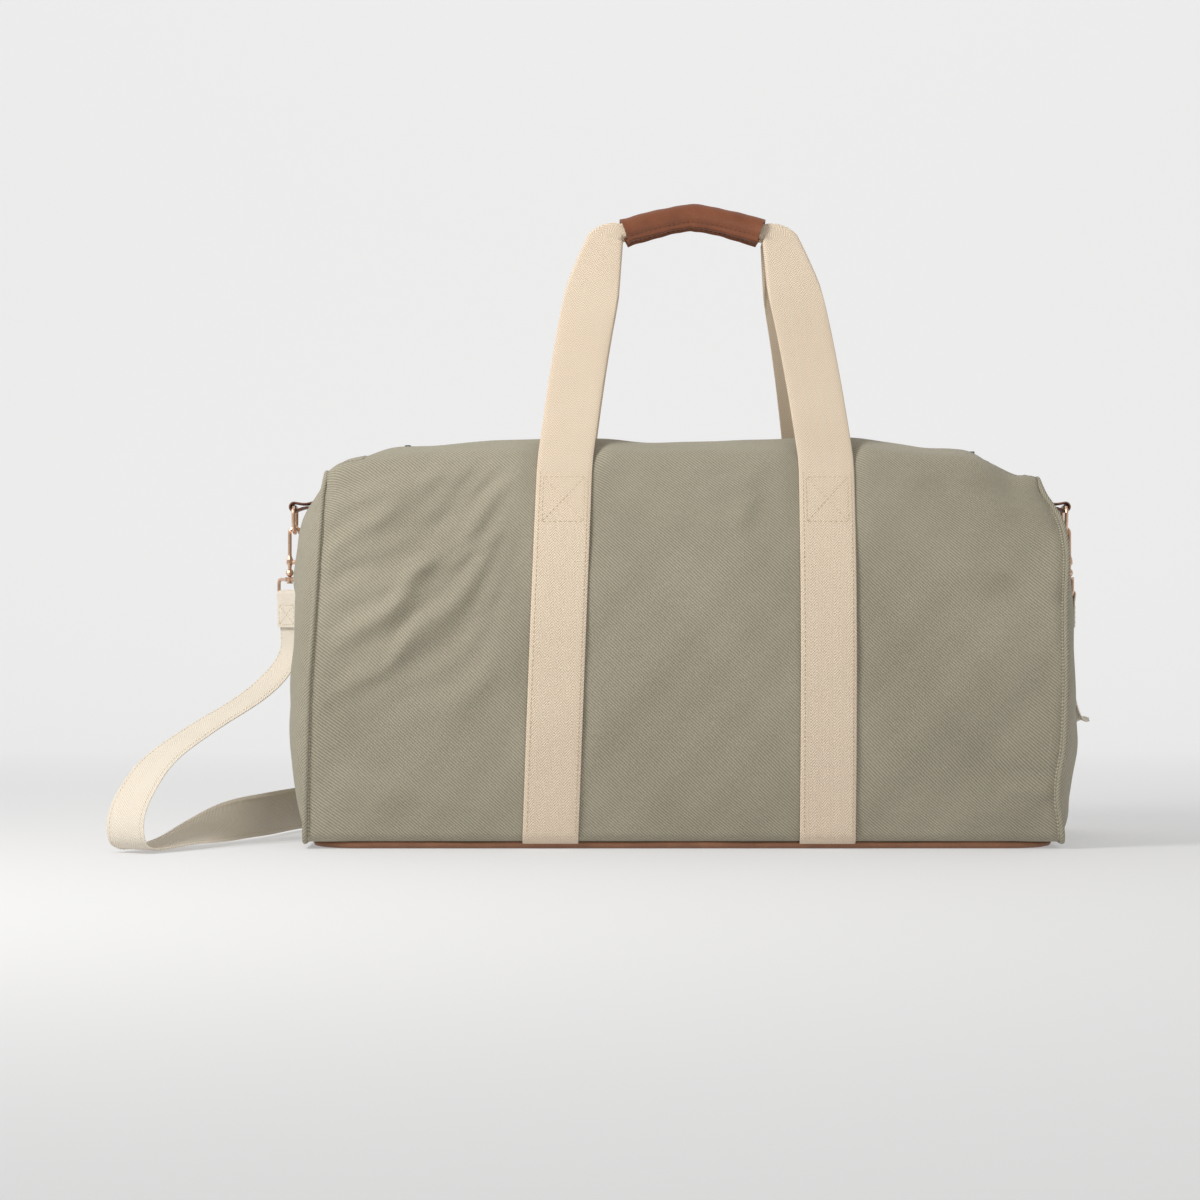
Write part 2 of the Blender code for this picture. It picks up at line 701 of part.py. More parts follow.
def handle_grip(name, front, surface):
    """A leather sleeve round the folded webbing."""
    hinge, up, out = handle_frame(front)
    count = 10
    line = [grip_curve(-1 + 2 * i / count) for i in range(count + 1)]
    path = [hinge + EAST * a + up * u for a, u in line]
    outside, inside = [], []
    for point, along in zip(path, directions(path)):
        w = out.cross(along).normalized()
        for rings, width, depth in (
            (outside, GRIP_WIDTH, GRIP_DEPTH),
            (inside, GRIP_BORE_WIDTH, GRIP_BORE_DEPTH),
        ):
            ring = []
            for i in range(12):
                t = 2 * pi * (i + 0.5) / 12
                c, s = cos(t), sin(t)
                square = BORE_SQUARENESS if rings is inside else GRIP_SQUARENESS
                x = width / 2 * (abs(c) ** square) * (1 if c > 0 else -1)
                y = depth / 2 * (abs(s) ** square) * (1 if s > 0 else -1)
                ring.append(point + w * x + out * y)
            rings.append(ring)
    return add_object(
        name, loft(outside + inside[::-1], ring=True), surface, smooth=True, origin=hinge
    )


# ---------------------------------------------------------------- end hardware
# Everything below hangs plumb under the ring tab: heights down the chain
RING_FOOT = RING_BAR_HEIGHT - RING_DROP  # middle of the ring's lowest wire
OPENING_FOOT = RING_FOOT - HOOK_OPENING
BALL_HEIGHT = OPENING_FOOT - STEM_DROP
BALL_FOOT = BALL_HEIGHT - BALL_RADIUS
STEM_X = RING_X + HOOK_RADIUS
COLLAR_TOP = BALL_FOOT - GAP
LOOP_BAR = COLLAR_TOP - COLLAR_HEIGHT / 2  # middle of the loop's upper bar
LOOP_FOOT = LOOP_BAR - LOOP_HEIGHT  # middle of its lower bar
LOOP_HALF = LOOP_INNER_WIDTH / 2 + LOOP_WIRE


def ring_tab(name, end, surface):
    """A leather strip sewn to the end panel, folded round the ring's bar."""
    bar = Vector((RING_X, 0, RING_BAR_HEIGHT))
    wrap = RING_WIRE + GAP + TAB_LEATHER / 2
    sewn = TAB_LEATHER / 2 + GAP
    heights = (TAB_TOP, (TAB_TOP + RING_BAR_HEIGHT) / 2, RING_BAR_HEIGHT + 2.2 * wrap)
    path = [Vector((end_surface_x(z) + sewn, 0, z)) for z in heights]
    path += arc(bar, wrap, 90, -90, 8, EAST, UP)
    lower = RING_BAR_HEIGHT - 2.2 * wrap
    path += [Vector((end_surface_x(z) + sewn, 0, z)) for z in (lower, TAB_FOOT)]
    path = [Vector((end * p.x, p.y, p.z)) for p in path]
    widths = [NORTH * (TAB_WIDTH / 2)] * len(path)
    thick = [along.cross(NORTH) * (TAB_LEATHER / 2) for along in directions(path)]
    return add_object(name, ribbon(path, widths, thick), surface, smooth=True)


def d_ring(name, end, surface):
    """A D-shaped wire ring, hanging by its straight bar."""
    bar = Vector((end * RING_X, 0, RING_BAR_HEIGHT))
    corner = 3 * RING_WIRE
    half = RING_HALF_WIDTH - corner
    path = [bar - NORTH * half, bar, bar + NORTH * half]
    low = bar + NORTH * half - UP * corner
    path += arc(low, corner, 60, 0, 2, NORTH, UP)
    count = 10
    bend = bar - UP * (corner * 1.6)
    depth = RING_DROP - corner * 1.6
    for i in range(1, count):
        t = pi * i / count
        path.append(bend + NORTH * (RING_HALF_WIDTH * cos(t)) - UP * (depth * sin(t)))
    low = bar - NORTH * half - UP * corner
    path += arc(low, corner, 180, 120, 2, NORTH, UP)
    made = wire(path, [RING_WIRE] * len(path), EAST, ring=True)
    return add_object(name, made, surface, smooth=True, origin=bar)


def hook_path(end):
    """The snap hook's middle line and radii: nose, crook, spine, stem, ball and post."""
    eye = Vector((end * RING_X, 0, RING_FOOT))
    out = EAST * end
    path = [eye - out * HOOK_RADIUS - UP * (RING_WIRE * 0.6)]
    path += arc(eye, HOOK_RADIUS, 180, 0, 8, out, UP)
    radii = [HOOK_WIRE] * len(path)
    stem = Vector((end * STEM_X, 0, 0))
    levels = [
        (OPENING_FOOT + 0.003, HOOK_WIRE),
        (OPENING_FOOT, 1.7 * HOOK_WIRE),
        (OPENING_FOOT - 0.003, 1.9 * HOOK_WIRE),
        (OPENING_FOOT - 0.0045, 1.1 * HOOK_WIRE),
        (BALL_HEIGHT + 0.93 * BALL_RADIUS, 0.9 * HOOK_WIRE),
        (BALL_HEIGHT + 0.6 * BALL_RADIUS, 0.8 * BALL_RADIUS),
        (BALL_HEIGHT, BALL_RADIUS),
        (BALL_HEIGHT - 0.6 * BALL_RADIUS, 0.8 * BALL_RADIUS),
        (BALL_FOOT, POST_RADIUS),
        (BALL_FOOT - COLLAR_HEIGHT - 2 * GAP, POST_RADIUS),
        (BALL_FOOT - COLLAR_HEIGHT - 2.5 * GAP, POST_HEAD),
        (BALL_FOOT - COLLAR_HEIGHT - 2.5 * GAP - 0.001, POST_HEAD),
    ]
    for z, radius in levels:
        path.append(stem + UP * z)
        radii.append(radius)
    return path, radii


def snap_hook(name, end, surface):
    eye = (end * RING_X, 0, RING_FOOT)
    path, radii = hook_path(end)
    hook = add_object(name, wire(path, radii, NORTH), surface, smooth=True, origin=eye)
    # the lug that carries the gate, joined across from the spine
    lug = [
        Vector((end * (STEM_X - 0.0005), 0, OPENING_FOOT - 0.0020)),
        Vector((end * (RING_X - HOOK_RADIUS * 0.5), 0, OPENING_FOOT - 0.0020)),
        Vector((end * (RING_X - HOOK_RADIUS - 0.0006), 0, OPENING_FOOT - 0.0016)),
    ]
    made = wire(lug, [1.2 * HOOK_WIRE] * 3, NORTH)
    merge(hook, add_object(name + "_lug", made, surface, smooth=True))
    return hook


def hook_gate(name, end, surface):
    """The sprung gate that closes the hook, with its thumb catch."""
    x = end * (RING_X - HOOK_RADIUS)
    foot = OPENING_FOOT - 0.0016 + 1.2 * HOOK_WIRE + GAP + 0.0002
    head = RING_FOOT - RING_WIRE * 0.6 - 3 * GAP
    catch = foot + 0.38 * (head - foot)
    heights = [foot, catch - 0.0022, catch - 0.0010, catch + 0.0010, catch + 0.0022, head]
    path = [Vector((x, 0, z)) for z in heights]
    radii = [GATE_RADIUS, GATE_RADIUS, 1.9 * GATE_RADIUS, 1.9 * GATE_RADIUS]
    radii += [GATE_RADIUS, GATE_RADIUS]
    made = wire(path, radii, NORTH)
    return add_object(name, made, surface, smooth=True, origin=(x, 0, foot))


def loop_directions(end):
    """Along the strap loop's bars, and square to its plane."""
    turn = radians(LEFT_LOOP_TURN if end < 0 else 0)
    along = Vector((-sin(turn), cos(turn), 0))
    return along, along.cross(UP)


def strap_loop(name, end, surface):
    """The rectangular wire loop that swivels on the hook's post and holds the strap."""
    along, square = loop_directions(end)
    stem = Vector((end * STEM_X, 0, 0))
    corner = 2 * LOOP_WIRE
    top, foot = stem + UP * LOOP_BAR, stem + UP * LOOP_FOOT
    inset = LOOP_HALF - corner
    path = [top]
    path += arc(top + along * inset - UP * corner, corner, 90, 0, 3, along, UP)
    path += arc(foot + along * inset + UP * corner, corner, 0, -90, 3, along, UP)
    path += arc(foot - along * inset + UP * corner, corner, -90, -180, 3, along, UP)
    path += arc(top - along * inset - UP * corner, corner, 180, 90, 3, along, UP)
    made = wire(path, [LOOP_WIRE] * len(path), square, ring=True)
    loop = add_object(name, made, surface, smooth=True, origin=top)
    collar = [
        circle(stem + UP * z, EAST, NORTH, COLLAR_RADIUS, 12)
        for z in (COLLAR_TOP - COLLAR_HEIGHT, COLLAR_TOP)
    ]
    merge(loop, add_object(name + "_collar", loft(collar), surface))
    bore = [
        circle(stem + UP * z, EAST, NORTH, POST_RADIUS + COLLAR_CLEARANCE, 12)
        for z in (COLLAR_TOP - 2 * COLLAR_HEIGHT, COLLAR_TOP + COLLAR_HEIGHT)
    ]
    cut(loop, add_object(name + "_bore", loft(bore), surface))
    return loop


def strap_end(name, end, surface):
    """The strap's doubled end, folded round the loop's lower bar and sewn."""
    along, square = loop_directions(end)
    bar = Vector((end * STEM_X, 0, LOOP_FOOT))
    wrap = LOOP_WIRE + GAP + SHOULDER_WEBBING / 2
    seam = SHOULDER_WEBBING / 2 + GAP / 2
    low, high = bar - UP * END_TAB_DROP, bar - UP * (2.4 * wrap)
    path = [low + square * seam, high + square * seam]
    path += arc(bar, wrap, 0, 180, 8, square, UP)
    path += [high - square * seam, low - square * seam]
    widths = [along * (SHOULDER_WIDTH / 2)] * len(path)
    thick = [way.cross(along) * (SHOULDER_WEBBING / 2) for way in directions(path)]
    made = ribbon(path, widths, thick)
    return add_object(name, made, surface, smooth=True, origin=bar)


# ---------------------------------------------------------------- shoulder strap
STRAP_STEP = 0.022
STRAP_START = LOOP_FOOT - END_TAB_DROP - 2 * GAP
LEFT_ACROSS = (sin(radians(LEFT_LOOP_TURN)), -cos(radians(LEFT_LOOP_TURN)), 0.0)
FLAT = SHOULDER_WEBBING / 2 + 0.0006  # middle of the strap where it lies flat
ON_EDGE = SHOULDER_WIDTH / 2 + 0.0008  # and where it stands on its edge
ADJUSTER_LEAD = 0.020  # middle of the adjuster to where the strap is raised for it
RAISED = ON_EDGE + ADJUSTER_RAIL + 2 * GAP  # and inside the adjuster


def off_left(out, depth, height):
    """A point out past the left hook's stem."""
    return (-STEM_X - out, depth, height)


def off_right(out, depth, height):
    """A point out past the right hook's stem."""
    return (STEM_X + out, depth, height)


def hung(share):
    """A height between the floor and the strap's start."""
    return share * STRAP_START


# the strap's route: a point, and the direction across its width there
STRAP_ROUTE = (
    (off_left(0.0, 0.0, STRAP_START), LEFT_ACROSS),
    (off_left(0.0, 0.0, STRAP_START - STRAP_STEP), LEFT_ACROSS),
    (off_left(0.0105, -0.013, hung(0.749)), (0.66, -0.75, 0.0)),
    (off_left(0.0281, -0.040, hung(0.645)), (0.76, -0.65, 0.0)),
    (off_left(0.0581, -0.083, hung(0.522)), (0.82, -0.57, 0.0)),
    (off_left(0.0841, -0.125, hung(0.393)), (0.85, -0.53, 0.0)),
    (off_left(0.0971, -0.155, hung(0.258)), (0.87, -0.49, 0.0)),
    (off_left(0.1021, -0.170, hung(0.147)), (0.87, -0.49, 0.0)),
    (off_left(0.1001, -0.172, FLAT + 0.0065), (0.87, -0.49, 0.0)),
    (off_left(0.0921, -0.160, FLAT + 0.0010), (0.87, -0.49, 0.0)),
    (off_left(0.0721, -0.126, FLAT + 0.0040), (0.88, -0.45, -0.10)),
    (off_left(0.0541, -0.088, ON_EDGE * 0.63), (0.80, -0.33, -0.48)),
    (off_left(0.0371, -0.040, ON_EDGE * 0.93), (0.52, -0.16, -0.82)),
    (off_left(0.0191, 0.025, ON_EDGE), (0.24, -0.06, -0.96)),
    (off_left(0.0011, 0.095, ON_EDGE), (0.08, -0.02, -0.997)),
    (off_left(-0.0259, 0.156, ON_EDGE), (0.0, 0.0, -1.0)),
    (off_left(-0.0789, 0.184, ON_EDGE), (0.0, 0.0, -1.0)),
    ((-0.140, STRAP_REAR_Y, ON_EDGE), (0.0, 0.0, -1.0)),
    ((-0.060, STRAP_REAR_Y, ON_EDGE), (0.0, 0.0, -1.0)),
    ((0.020, STRAP_REAR_Y, ON_EDGE + 0.001), (0.0, 0.0, -1.0)),
    ((ADJUSTER_X - ADJUSTER_LEAD, STRAP_REAR_Y, RAISED), (0.0, 0.0, -1.0)),
    ((ADJUSTER_X + ADJUSTER_LEAD, STRAP_REAR_Y, RAISED), (0.0, 0.0, -1.0)),
    (off_right(-0.1139, 0.188, ON_EDGE + 0.001), (0.0, 0.0, -1.0)),
    (off_right(-0.0579, 0.178, ON_EDGE), (0.0, 0.0, -1.0)),
    (off_right(-0.0179, 0.152, hung(0.135)), (-0.04, 0.08, -0.99)),
    (off_right(0.0001, 0.112, hung(0.233)), (-0.10, 0.30, -0.95)),
    (off_right(0.0051, 0.072, hung(0.393)), (-0.10, 0.56, -0.82)),
    (off_right(0.0046, 0.036, hung(0.577)), (-0.04, 0.80, -0.60)),
    (off_right(0.0016, 0.008, hung(0.737)), (0.0, 0.97, -0.22)),
    (off_right(0.0, 0.0, STRAP_START - STRAP_STEP), (0.0, 1.0, 0.0)),
    (off_right(0.0, 0.0, STRAP_START), (0.0, 1.0, 0.0)),
)


def smooth_route():
    """Points and width directions read from smooth curves through the strap's route."""
    points = [Vector(p) for p, _ in STRAP_ROUTE]
    sides = [Vector(s).normalized() for _, s in STRAP_ROUTE]
    for i in range(1, len(sides)):
        if sides[i].dot(sides[i - 1]) < 0:
            sides[i] = -sides[i]
    path, across = [], []
    last = len(points) - 1
    for i in range(last):
        row = [max(0, i - 1), i, i + 1, min(last, i + 2)]
        steps = max(1, ceil((points[i + 1] - points[i]).length / STRAP_STEP))
        for k in range(steps):
            t = k / steps
            path.append(blend_through([points[j] for j in row], t))
            across.append(blend_through([sides[j] for j in row], t))
    path.append(points[last])
    across.append(sides[last])
    return path, across


def blend_through(four, t):
    """A Catmull-Rom curve between the middle two of four vectors."""
    a, b, c, d = four
    return 0.5 * (
        2 * b + (c - a) * t + (2 * a - 5 * b + 4 * c - d) * t**2
        + (3 * b - a - 3 * c + d) * t**3
    )


def shoulder_strap(name, surface):
    """The long webbing strap, from one end's loop round behind the bag to the other's."""
    path, across = smooth_route()
    widths, thick = [], []
    for side, along in zip(across, directions(path)):
        flat = (side - along * side.dot(along)).normalized()
        widths.append(flat * (SHOULDER_WIDTH / 2))
        thick.append(along.cross(flat) * (SHOULDER_WEBBING / 2))
    return add_object(name, ribbon(path, widths, thick), surface, smooth=True)


def strap_adjuster(name, surface):
    """A slide buckle on the strap behind the bag: two end bars and a middle bar."""
    centre = Vector((ADJUSTER_X, STRAP_REAR_Y, RAISED))
    rail = ADJUSTER_RAIL / 2
    tall = SHOULDER_WIDTH / 2 + GAP + rail
    long = ADJUSTER_LENGTH / 2
    lift = SHOULDER_WEBBING / 2 + GAP + rail
    path = [centre + NORTH * lift + EAST * x + UP * z for x, z in (
        (-long, -tall), (0, -tall), (long, -tall), (long, tall), (0, tall), (-long, tall)
    )]
    frame = add_object(name, wire(path, [rail] * len(path), NORTH, ring=True), surface)
    bar = [centre + UP * tall, centre - UP * tall]
    bar = [p + NORTH * y for p, y in ((bar[0], lift), (bar[0], -lift), (bar[1], -lift),
                                      (bar[1], lift))]
    merge(frame, add_object(name + "_bar", wire(bar, [rail * 0.8] * 4, EAST), surface))
    return frame


# ---------------------------------------------------------------- the whole bag
def clear_scene():
    for old in list(bpy.data.objects):
        bpy.data.objects.remove(old, do_unlink=True)


def build():
    clear_scene()
    canvas = material("canvas", (0.34, 0.32, 0.23), 0.9)
    cloth = material("lining_cloth", (0.55, 0.50, 0.42), 0.85)
    webbing = material("cotton_webbing", (0.80, 0.68, 0.50), 0.85)
    strap_webbing = material("strap_webbing", (0.83, 0.77, 0.66), 0.85)
    tan = material("tan_leather", (0.30, 0.10, 0.04), 0.5)
    dark = material("dark_leather", (0.09, 0.03, 0.02), 0.55)
    brass = material("rose_brass", (0.80, 0.55, 0.40), 0.25, 1.0)
    slate = material("slate_tape", (0.07, 0.08, 0.085), 0.8)
    gunmetal = material("gunmetal", (0.12, 0.12, 0.13), 0.35, 1.0)
    board = material("base_board", (0.25, 0.18, 0.11), 0.8)

    base_panel("base_panel", dark)
    base_board("base_board", board)
    lining("lining", cloth)
    for label, front in (("front", -1), ("rear", 1)):
        side_panel(f"{label}_panel", front, canvas)
        top_panel(f"{label}_top_panel", front, canvas)
        zip_tape(f"{label}_zip_tape", front, slate)
        zip_teeth(f"{label}_zip_teeth", front, gunmetal)
        handle_webbing(f"{label}_handle_webbing", front, webbing)
        handle_grip(f"{label}_grip", front, tan)
        for side_label, side in (("left", -1), ("right", 1)):
            sewn_strap(f"{label}_{side_label}_strap", front, side, webbing)
            zip_stop(f"{label}_{side_label}_zip_stop", side, front, gunmetal)
    zip_slider("zip_slider", gunmetal)
    zip_pull("zip_pull", gunmetal)
    for label, end in (("left", -1), ("right", 1)):
        end_panel(f"{label}_end_panel", end, canvas)
        end_piping(f"{label}_end_piping", end, canvas)
        top_gusset(f"{label}_top_gusset", end, canvas)
        ring_tab(f"{label}_ring_tab", end, dark)
        d_ring(f"{label}_d_ring", end, brass)
        snap_hook(f"{label}_snap_hook", end, brass)
        hook_gate(f"{label}_hook_gate", end, brass)
        strap_loop(f"{label}_strap_loop", end, brass)
        strap_end(f"{label}_strap_end", end, strap_webbing)
    shoulder_strap("shoulder_strap", strap_webbing)
    strap_adjuster("strap_adjuster", brass)


build()
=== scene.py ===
import json
from math import cos, hypot, pi, radians, sin

import bmesh
import bpy
import numpy as np
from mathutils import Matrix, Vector


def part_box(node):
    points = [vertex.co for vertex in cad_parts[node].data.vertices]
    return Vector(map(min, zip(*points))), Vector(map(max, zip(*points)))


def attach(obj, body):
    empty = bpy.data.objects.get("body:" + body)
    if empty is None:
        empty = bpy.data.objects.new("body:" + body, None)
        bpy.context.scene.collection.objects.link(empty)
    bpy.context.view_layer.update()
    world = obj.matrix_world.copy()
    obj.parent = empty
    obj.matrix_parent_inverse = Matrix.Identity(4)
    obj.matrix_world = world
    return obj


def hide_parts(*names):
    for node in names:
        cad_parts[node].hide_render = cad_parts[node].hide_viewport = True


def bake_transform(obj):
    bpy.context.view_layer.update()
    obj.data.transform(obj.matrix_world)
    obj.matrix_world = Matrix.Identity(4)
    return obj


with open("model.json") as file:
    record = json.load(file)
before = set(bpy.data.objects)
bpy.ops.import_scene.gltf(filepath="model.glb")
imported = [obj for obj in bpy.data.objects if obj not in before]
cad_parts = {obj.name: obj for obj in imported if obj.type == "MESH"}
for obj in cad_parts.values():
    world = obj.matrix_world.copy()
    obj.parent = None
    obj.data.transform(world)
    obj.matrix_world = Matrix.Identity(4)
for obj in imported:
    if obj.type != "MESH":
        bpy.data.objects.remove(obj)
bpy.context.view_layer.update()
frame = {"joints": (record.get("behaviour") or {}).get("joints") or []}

EAST, NORTH, UP = Vector((1, 0, 0)), Vector((0, 1, 0)), Vector((0, 0, 1))
ENDS = (("left", -1), ("right", 1))
FACES = (("front", -1), ("rear", 1))
JOINT = {j["name"]: j for j in frame["joints"]}


def joint_point(name):
    return Vector(JOINT[name]["pos_m"])


# ---------------------------------------------------------------- sizes read from the frame
side_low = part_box("front_panel")[0]
top_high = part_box("front_top_panel")[1]
HALF_PANEL = 0.0011  # half the thickness of a canvas panel's solid
WIDEST_HALF_DEPTH = -side_low[1] - HALF_PANEL
WIDEST_HEIGHT = 0.120
FOOT_HEIGHT = side_low[2] + HALF_PANEL
FOOT_HALF_DEPTH = 0.1235
SHOULDER_HEIGHT = 0.2812
SHOULDER_HALF_DEPTH = 0.0975
FOLD = joint_point("front_mouth_fold")
FOLD_HALF_DEPTH, FOLD_HEIGHT = -FOLD.y, FOLD.z
MOUTH_HALF = top_high[0]
SLOT = -top_high[1]
CORNER_RADIUS = 0.008  # where a side turns under the bag
CANVAS_START = FOOT_HEIGHT + 0.0006  # the canvas's lowest line
SIDE_TOP = 0.2735  # a side is straight up to here, then turns over to the top
SEAM_TOP = 0.276  # an end seam keeps its place from here up
CANVAS_THICK = 0.0018
STRAP_SPREAD = 0.200  # between the middles of a face's two sewn straps, at the ground
STRAP_LEAN = 0.010  # how much closer together they are at the shoulder
STRAP_FOOT_X = 0.004
STRAP_TOP_X = joint_point("front_handle_swing").x

# the bag's soft outline from the front: the top line, then each end seam from the top down
TOP_LINE = (
    (-0.262, 0.2710), (-0.252, 0.2785), (-0.235, 0.2818), (-0.206, 0.2868), (-0.180, 0.2896),
    (-0.150, 0.2913), (-0.110, 0.2927), (-0.060, 0.2936), (-0.030, 0.2905), (0.020, 0.2922),
    (0.060, 0.2925), (0.090, 0.2940), (0.125, 0.2945), (0.150, 0.2905), (0.175, 0.2878),
    (0.203, 0.2857), (0.222, 0.2800), (0.238, 0.2720), (0.258, 0.2700), (0.270, 0.2640),
)
LEFT_SEAM = (
    (0.284, -0.2555), (0.272, -0.2600), (0.255, -0.2612), (0.237, -0.2618), (0.165, -0.2655),
    (0.122, -0.2685), (0.072, -0.2705), (0.0, -0.2725),
)
RIGHT_SEAM = (
    (0.284, 0.2560), (0.270, 0.2610), (0.262, 0.2655), (0.250, 0.2700), (0.235, 0.2738),
    (0.217, 0.2762), (0.180, 0.2745), (0.108, 0.2742), (0.070, 0.2725), (0.050, 0.2695),
    (0.036, 0.2690), (0.020, 0.2715), (0.0, 0.2735),
)


def smooth_steps(x, knots):
    """A smooth curve through (x, value) knots, as values at the array x."""
    ks = sorted(knots)
    kx, kv = np.array([k[0] for k in ks]), np.array([k[1] for k in ks])
    slope = np.gradient(kv, kx)
    i = np.clip(np.searchsorted(kx, x) - 1, 0, len(kx) - 2)
    h = kx[i + 1] - kx[i]
    t = np.clip((x - kx[i]) / h, 0, 1)
    a, b = kv[i], kv[i + 1]
    m, n = slope[i] * h, slope[i + 1] * h
    return a * (1 + 2 * t) * (1 - t) ** 2 + m * t * (1 - t) ** 2 + b * t * t * (3 - 2 * t) \
        - n * t * t * (1 - t)


def ramp(x, low, high):
    t = np.clip((np.asarray(x, float) - low) / (high - low), 0, 1)
    return t * t * (3 - 2 * t)


def seam_x(side, z):
    """Where an end seam is at height z, on the left (-1) or the right (1)."""
    return smooth_steps(np.asarray(z, float), LEFT_SEAM if side < 0 else RIGHT_SEAM)


def seam_top_x(side):
    return float(seam_x(side, SEAM_TOP))


def half_depth(z):
    """How deep the bag is at height z, from its middle to a face."""
    z = np.asarray(z, float)
    low = WIDEST_HALF_DEPTH - (WIDEST_HALF_DEPTH - FOOT_HALF_DEPTH) * (1 - z / WIDEST_HEIGHT) ** 2
    rise = np.clip((z - WIDEST_HEIGHT) / (SHOULDER_HEIGHT - WIDEST_HEIGHT), 0, 2)
    high = WIDEST_HALF_DEPTH - (WIDEST_HALF_DEPTH - SHOULDER_HALF_DEPTH) * rise**2.2
    return np.where(z < WIDEST_HEIGHT, low, high)


def strap_x(side, z):
    """The middle of a sewn strap at height z."""
    rise = z / SHOULDER_HEIGHT
    spread = STRAP_SPREAD - STRAP_LEAN * rise
    return STRAP_FOOT_X + (STRAP_TOP_X - STRAP_FOOT_X) * rise + side * spread / 2


# ---------------------------------------------------------------- camera, lights and floor
def make_camera():
    data = bpy.data.cameras.new("camera")
    data.lens, data.sensor_width = 111.4, 36
    data.clip_start, data.clip_end = 0.05, 30
    camera = bpy.data.objects.new("camera", data)
    camera.location = (-0.06, -2.8, 0.1795)
    camera.rotation_euler = (radians(90), 0, 0)
    bpy.context.scene.collection.objects.link(camera)
    bpy.context.scene.camera = camera


def area_light(name, place, target, size, watts, colour=(1, 1, 1)):
    data = bpy.data.lights.new(name, "AREA")
    data.shape, data.size = "DISK", size
    data.energy, data.color = watts, colour
    lamp = bpy.data.objects.new(name, data)
    lamp.location = place
    lamp.rotation_euler = (Vector(target) - Vector(place)).to_track_quat("-Z", "Y").to_euler()
    bpy.context.scene.collection.objects.link(lamp)


def make_stage():
    """A level floor that curves up behind into a plain pale backdrop."""
    bm = bmesh.new()
    profile = [(-9.0, 0.0), (1.6, 0.0)]
    profile += [(1.6 + 1.2 * sin(t), 1.2 - 1.2 * cos(t)) for t in np.linspace(0.1, pi / 2, 12)]
    profile += [(2.8, 6.0)]
    rows = [[bm.verts.new((x, y, z)) for x in (-9, 9)] for y, z in profile]
    for a, b in zip(rows, rows[1:]):
        bm.faces.new((a[0], a[1], b[1], b[0]))
    mesh = bpy.data.meshes.new("studio_floor")
    bm.to_mesh(mesh)
    bm.free()
    mesh.shade_smooth()
    floor = bpy.data.objects.new("studio_floor", mesh)
    bpy.context.scene.collection.objects.link(floor)
    paper = Surface("studio_paper", 0.9, 0.1)
    paper.set("Base Color", (0.44, 0.44, 0.445, 1))
    paper.set("Emission Color", (1.0, 1.0, 1.0, 1))
    depth = paper.node("ShaderNodeSeparateXYZ", Vector=paper.object_place()).outputs["Y"]
    glow = paper.node("ShaderNodeMapRange", Value=depth, From_Min=0.0, From_Max=2.6,
                      To_Min=0.34, To_Max=0.55)
    glow.interpolation_type = "SMOOTHSTEP"
    paper.set("Emission Strength", glow.outputs["Result"])
    mesh.materials.append(paper.made)


def make_light():
    world = bpy.data.worlds.new("studio")
    bpy.context.scene.world = world
    world.use_nodes = True
    world.node_tree.nodes["Background"].inputs["Color"].default_value = (1.0, 0.985, 0.96, 1)
    world.node_tree.nodes["Background"].inputs["Strength"].default_value = 0.42
    area_light("key", (-0.98, -0.88, 1.18), (-0.12, -0.05, 0.22), 0.6, 17, (1.0, 0.985, 0.96))
    area_light("fill", (1.1, -2.9, 0.8), (-0.15, 0, 0.12), 1.8, 8, (1.0, 0.98, 0.96))
    area_light("top", (0.0, 0.6, 3.0), (0, 0, 0.2), 2.4, 9)
    bpy.context.scene.view_settings.view_transform = "Standard"
    bpy.context.scene.view_settings.look = "None"


# ---------------------------------------------------------------- materials
RIB_PITCH, CROSS_PITCH = 0.0018, 0.0011  # of the canvas's twill
THREAD_PITCH = 0.0021  # of the webbing's slanted threads


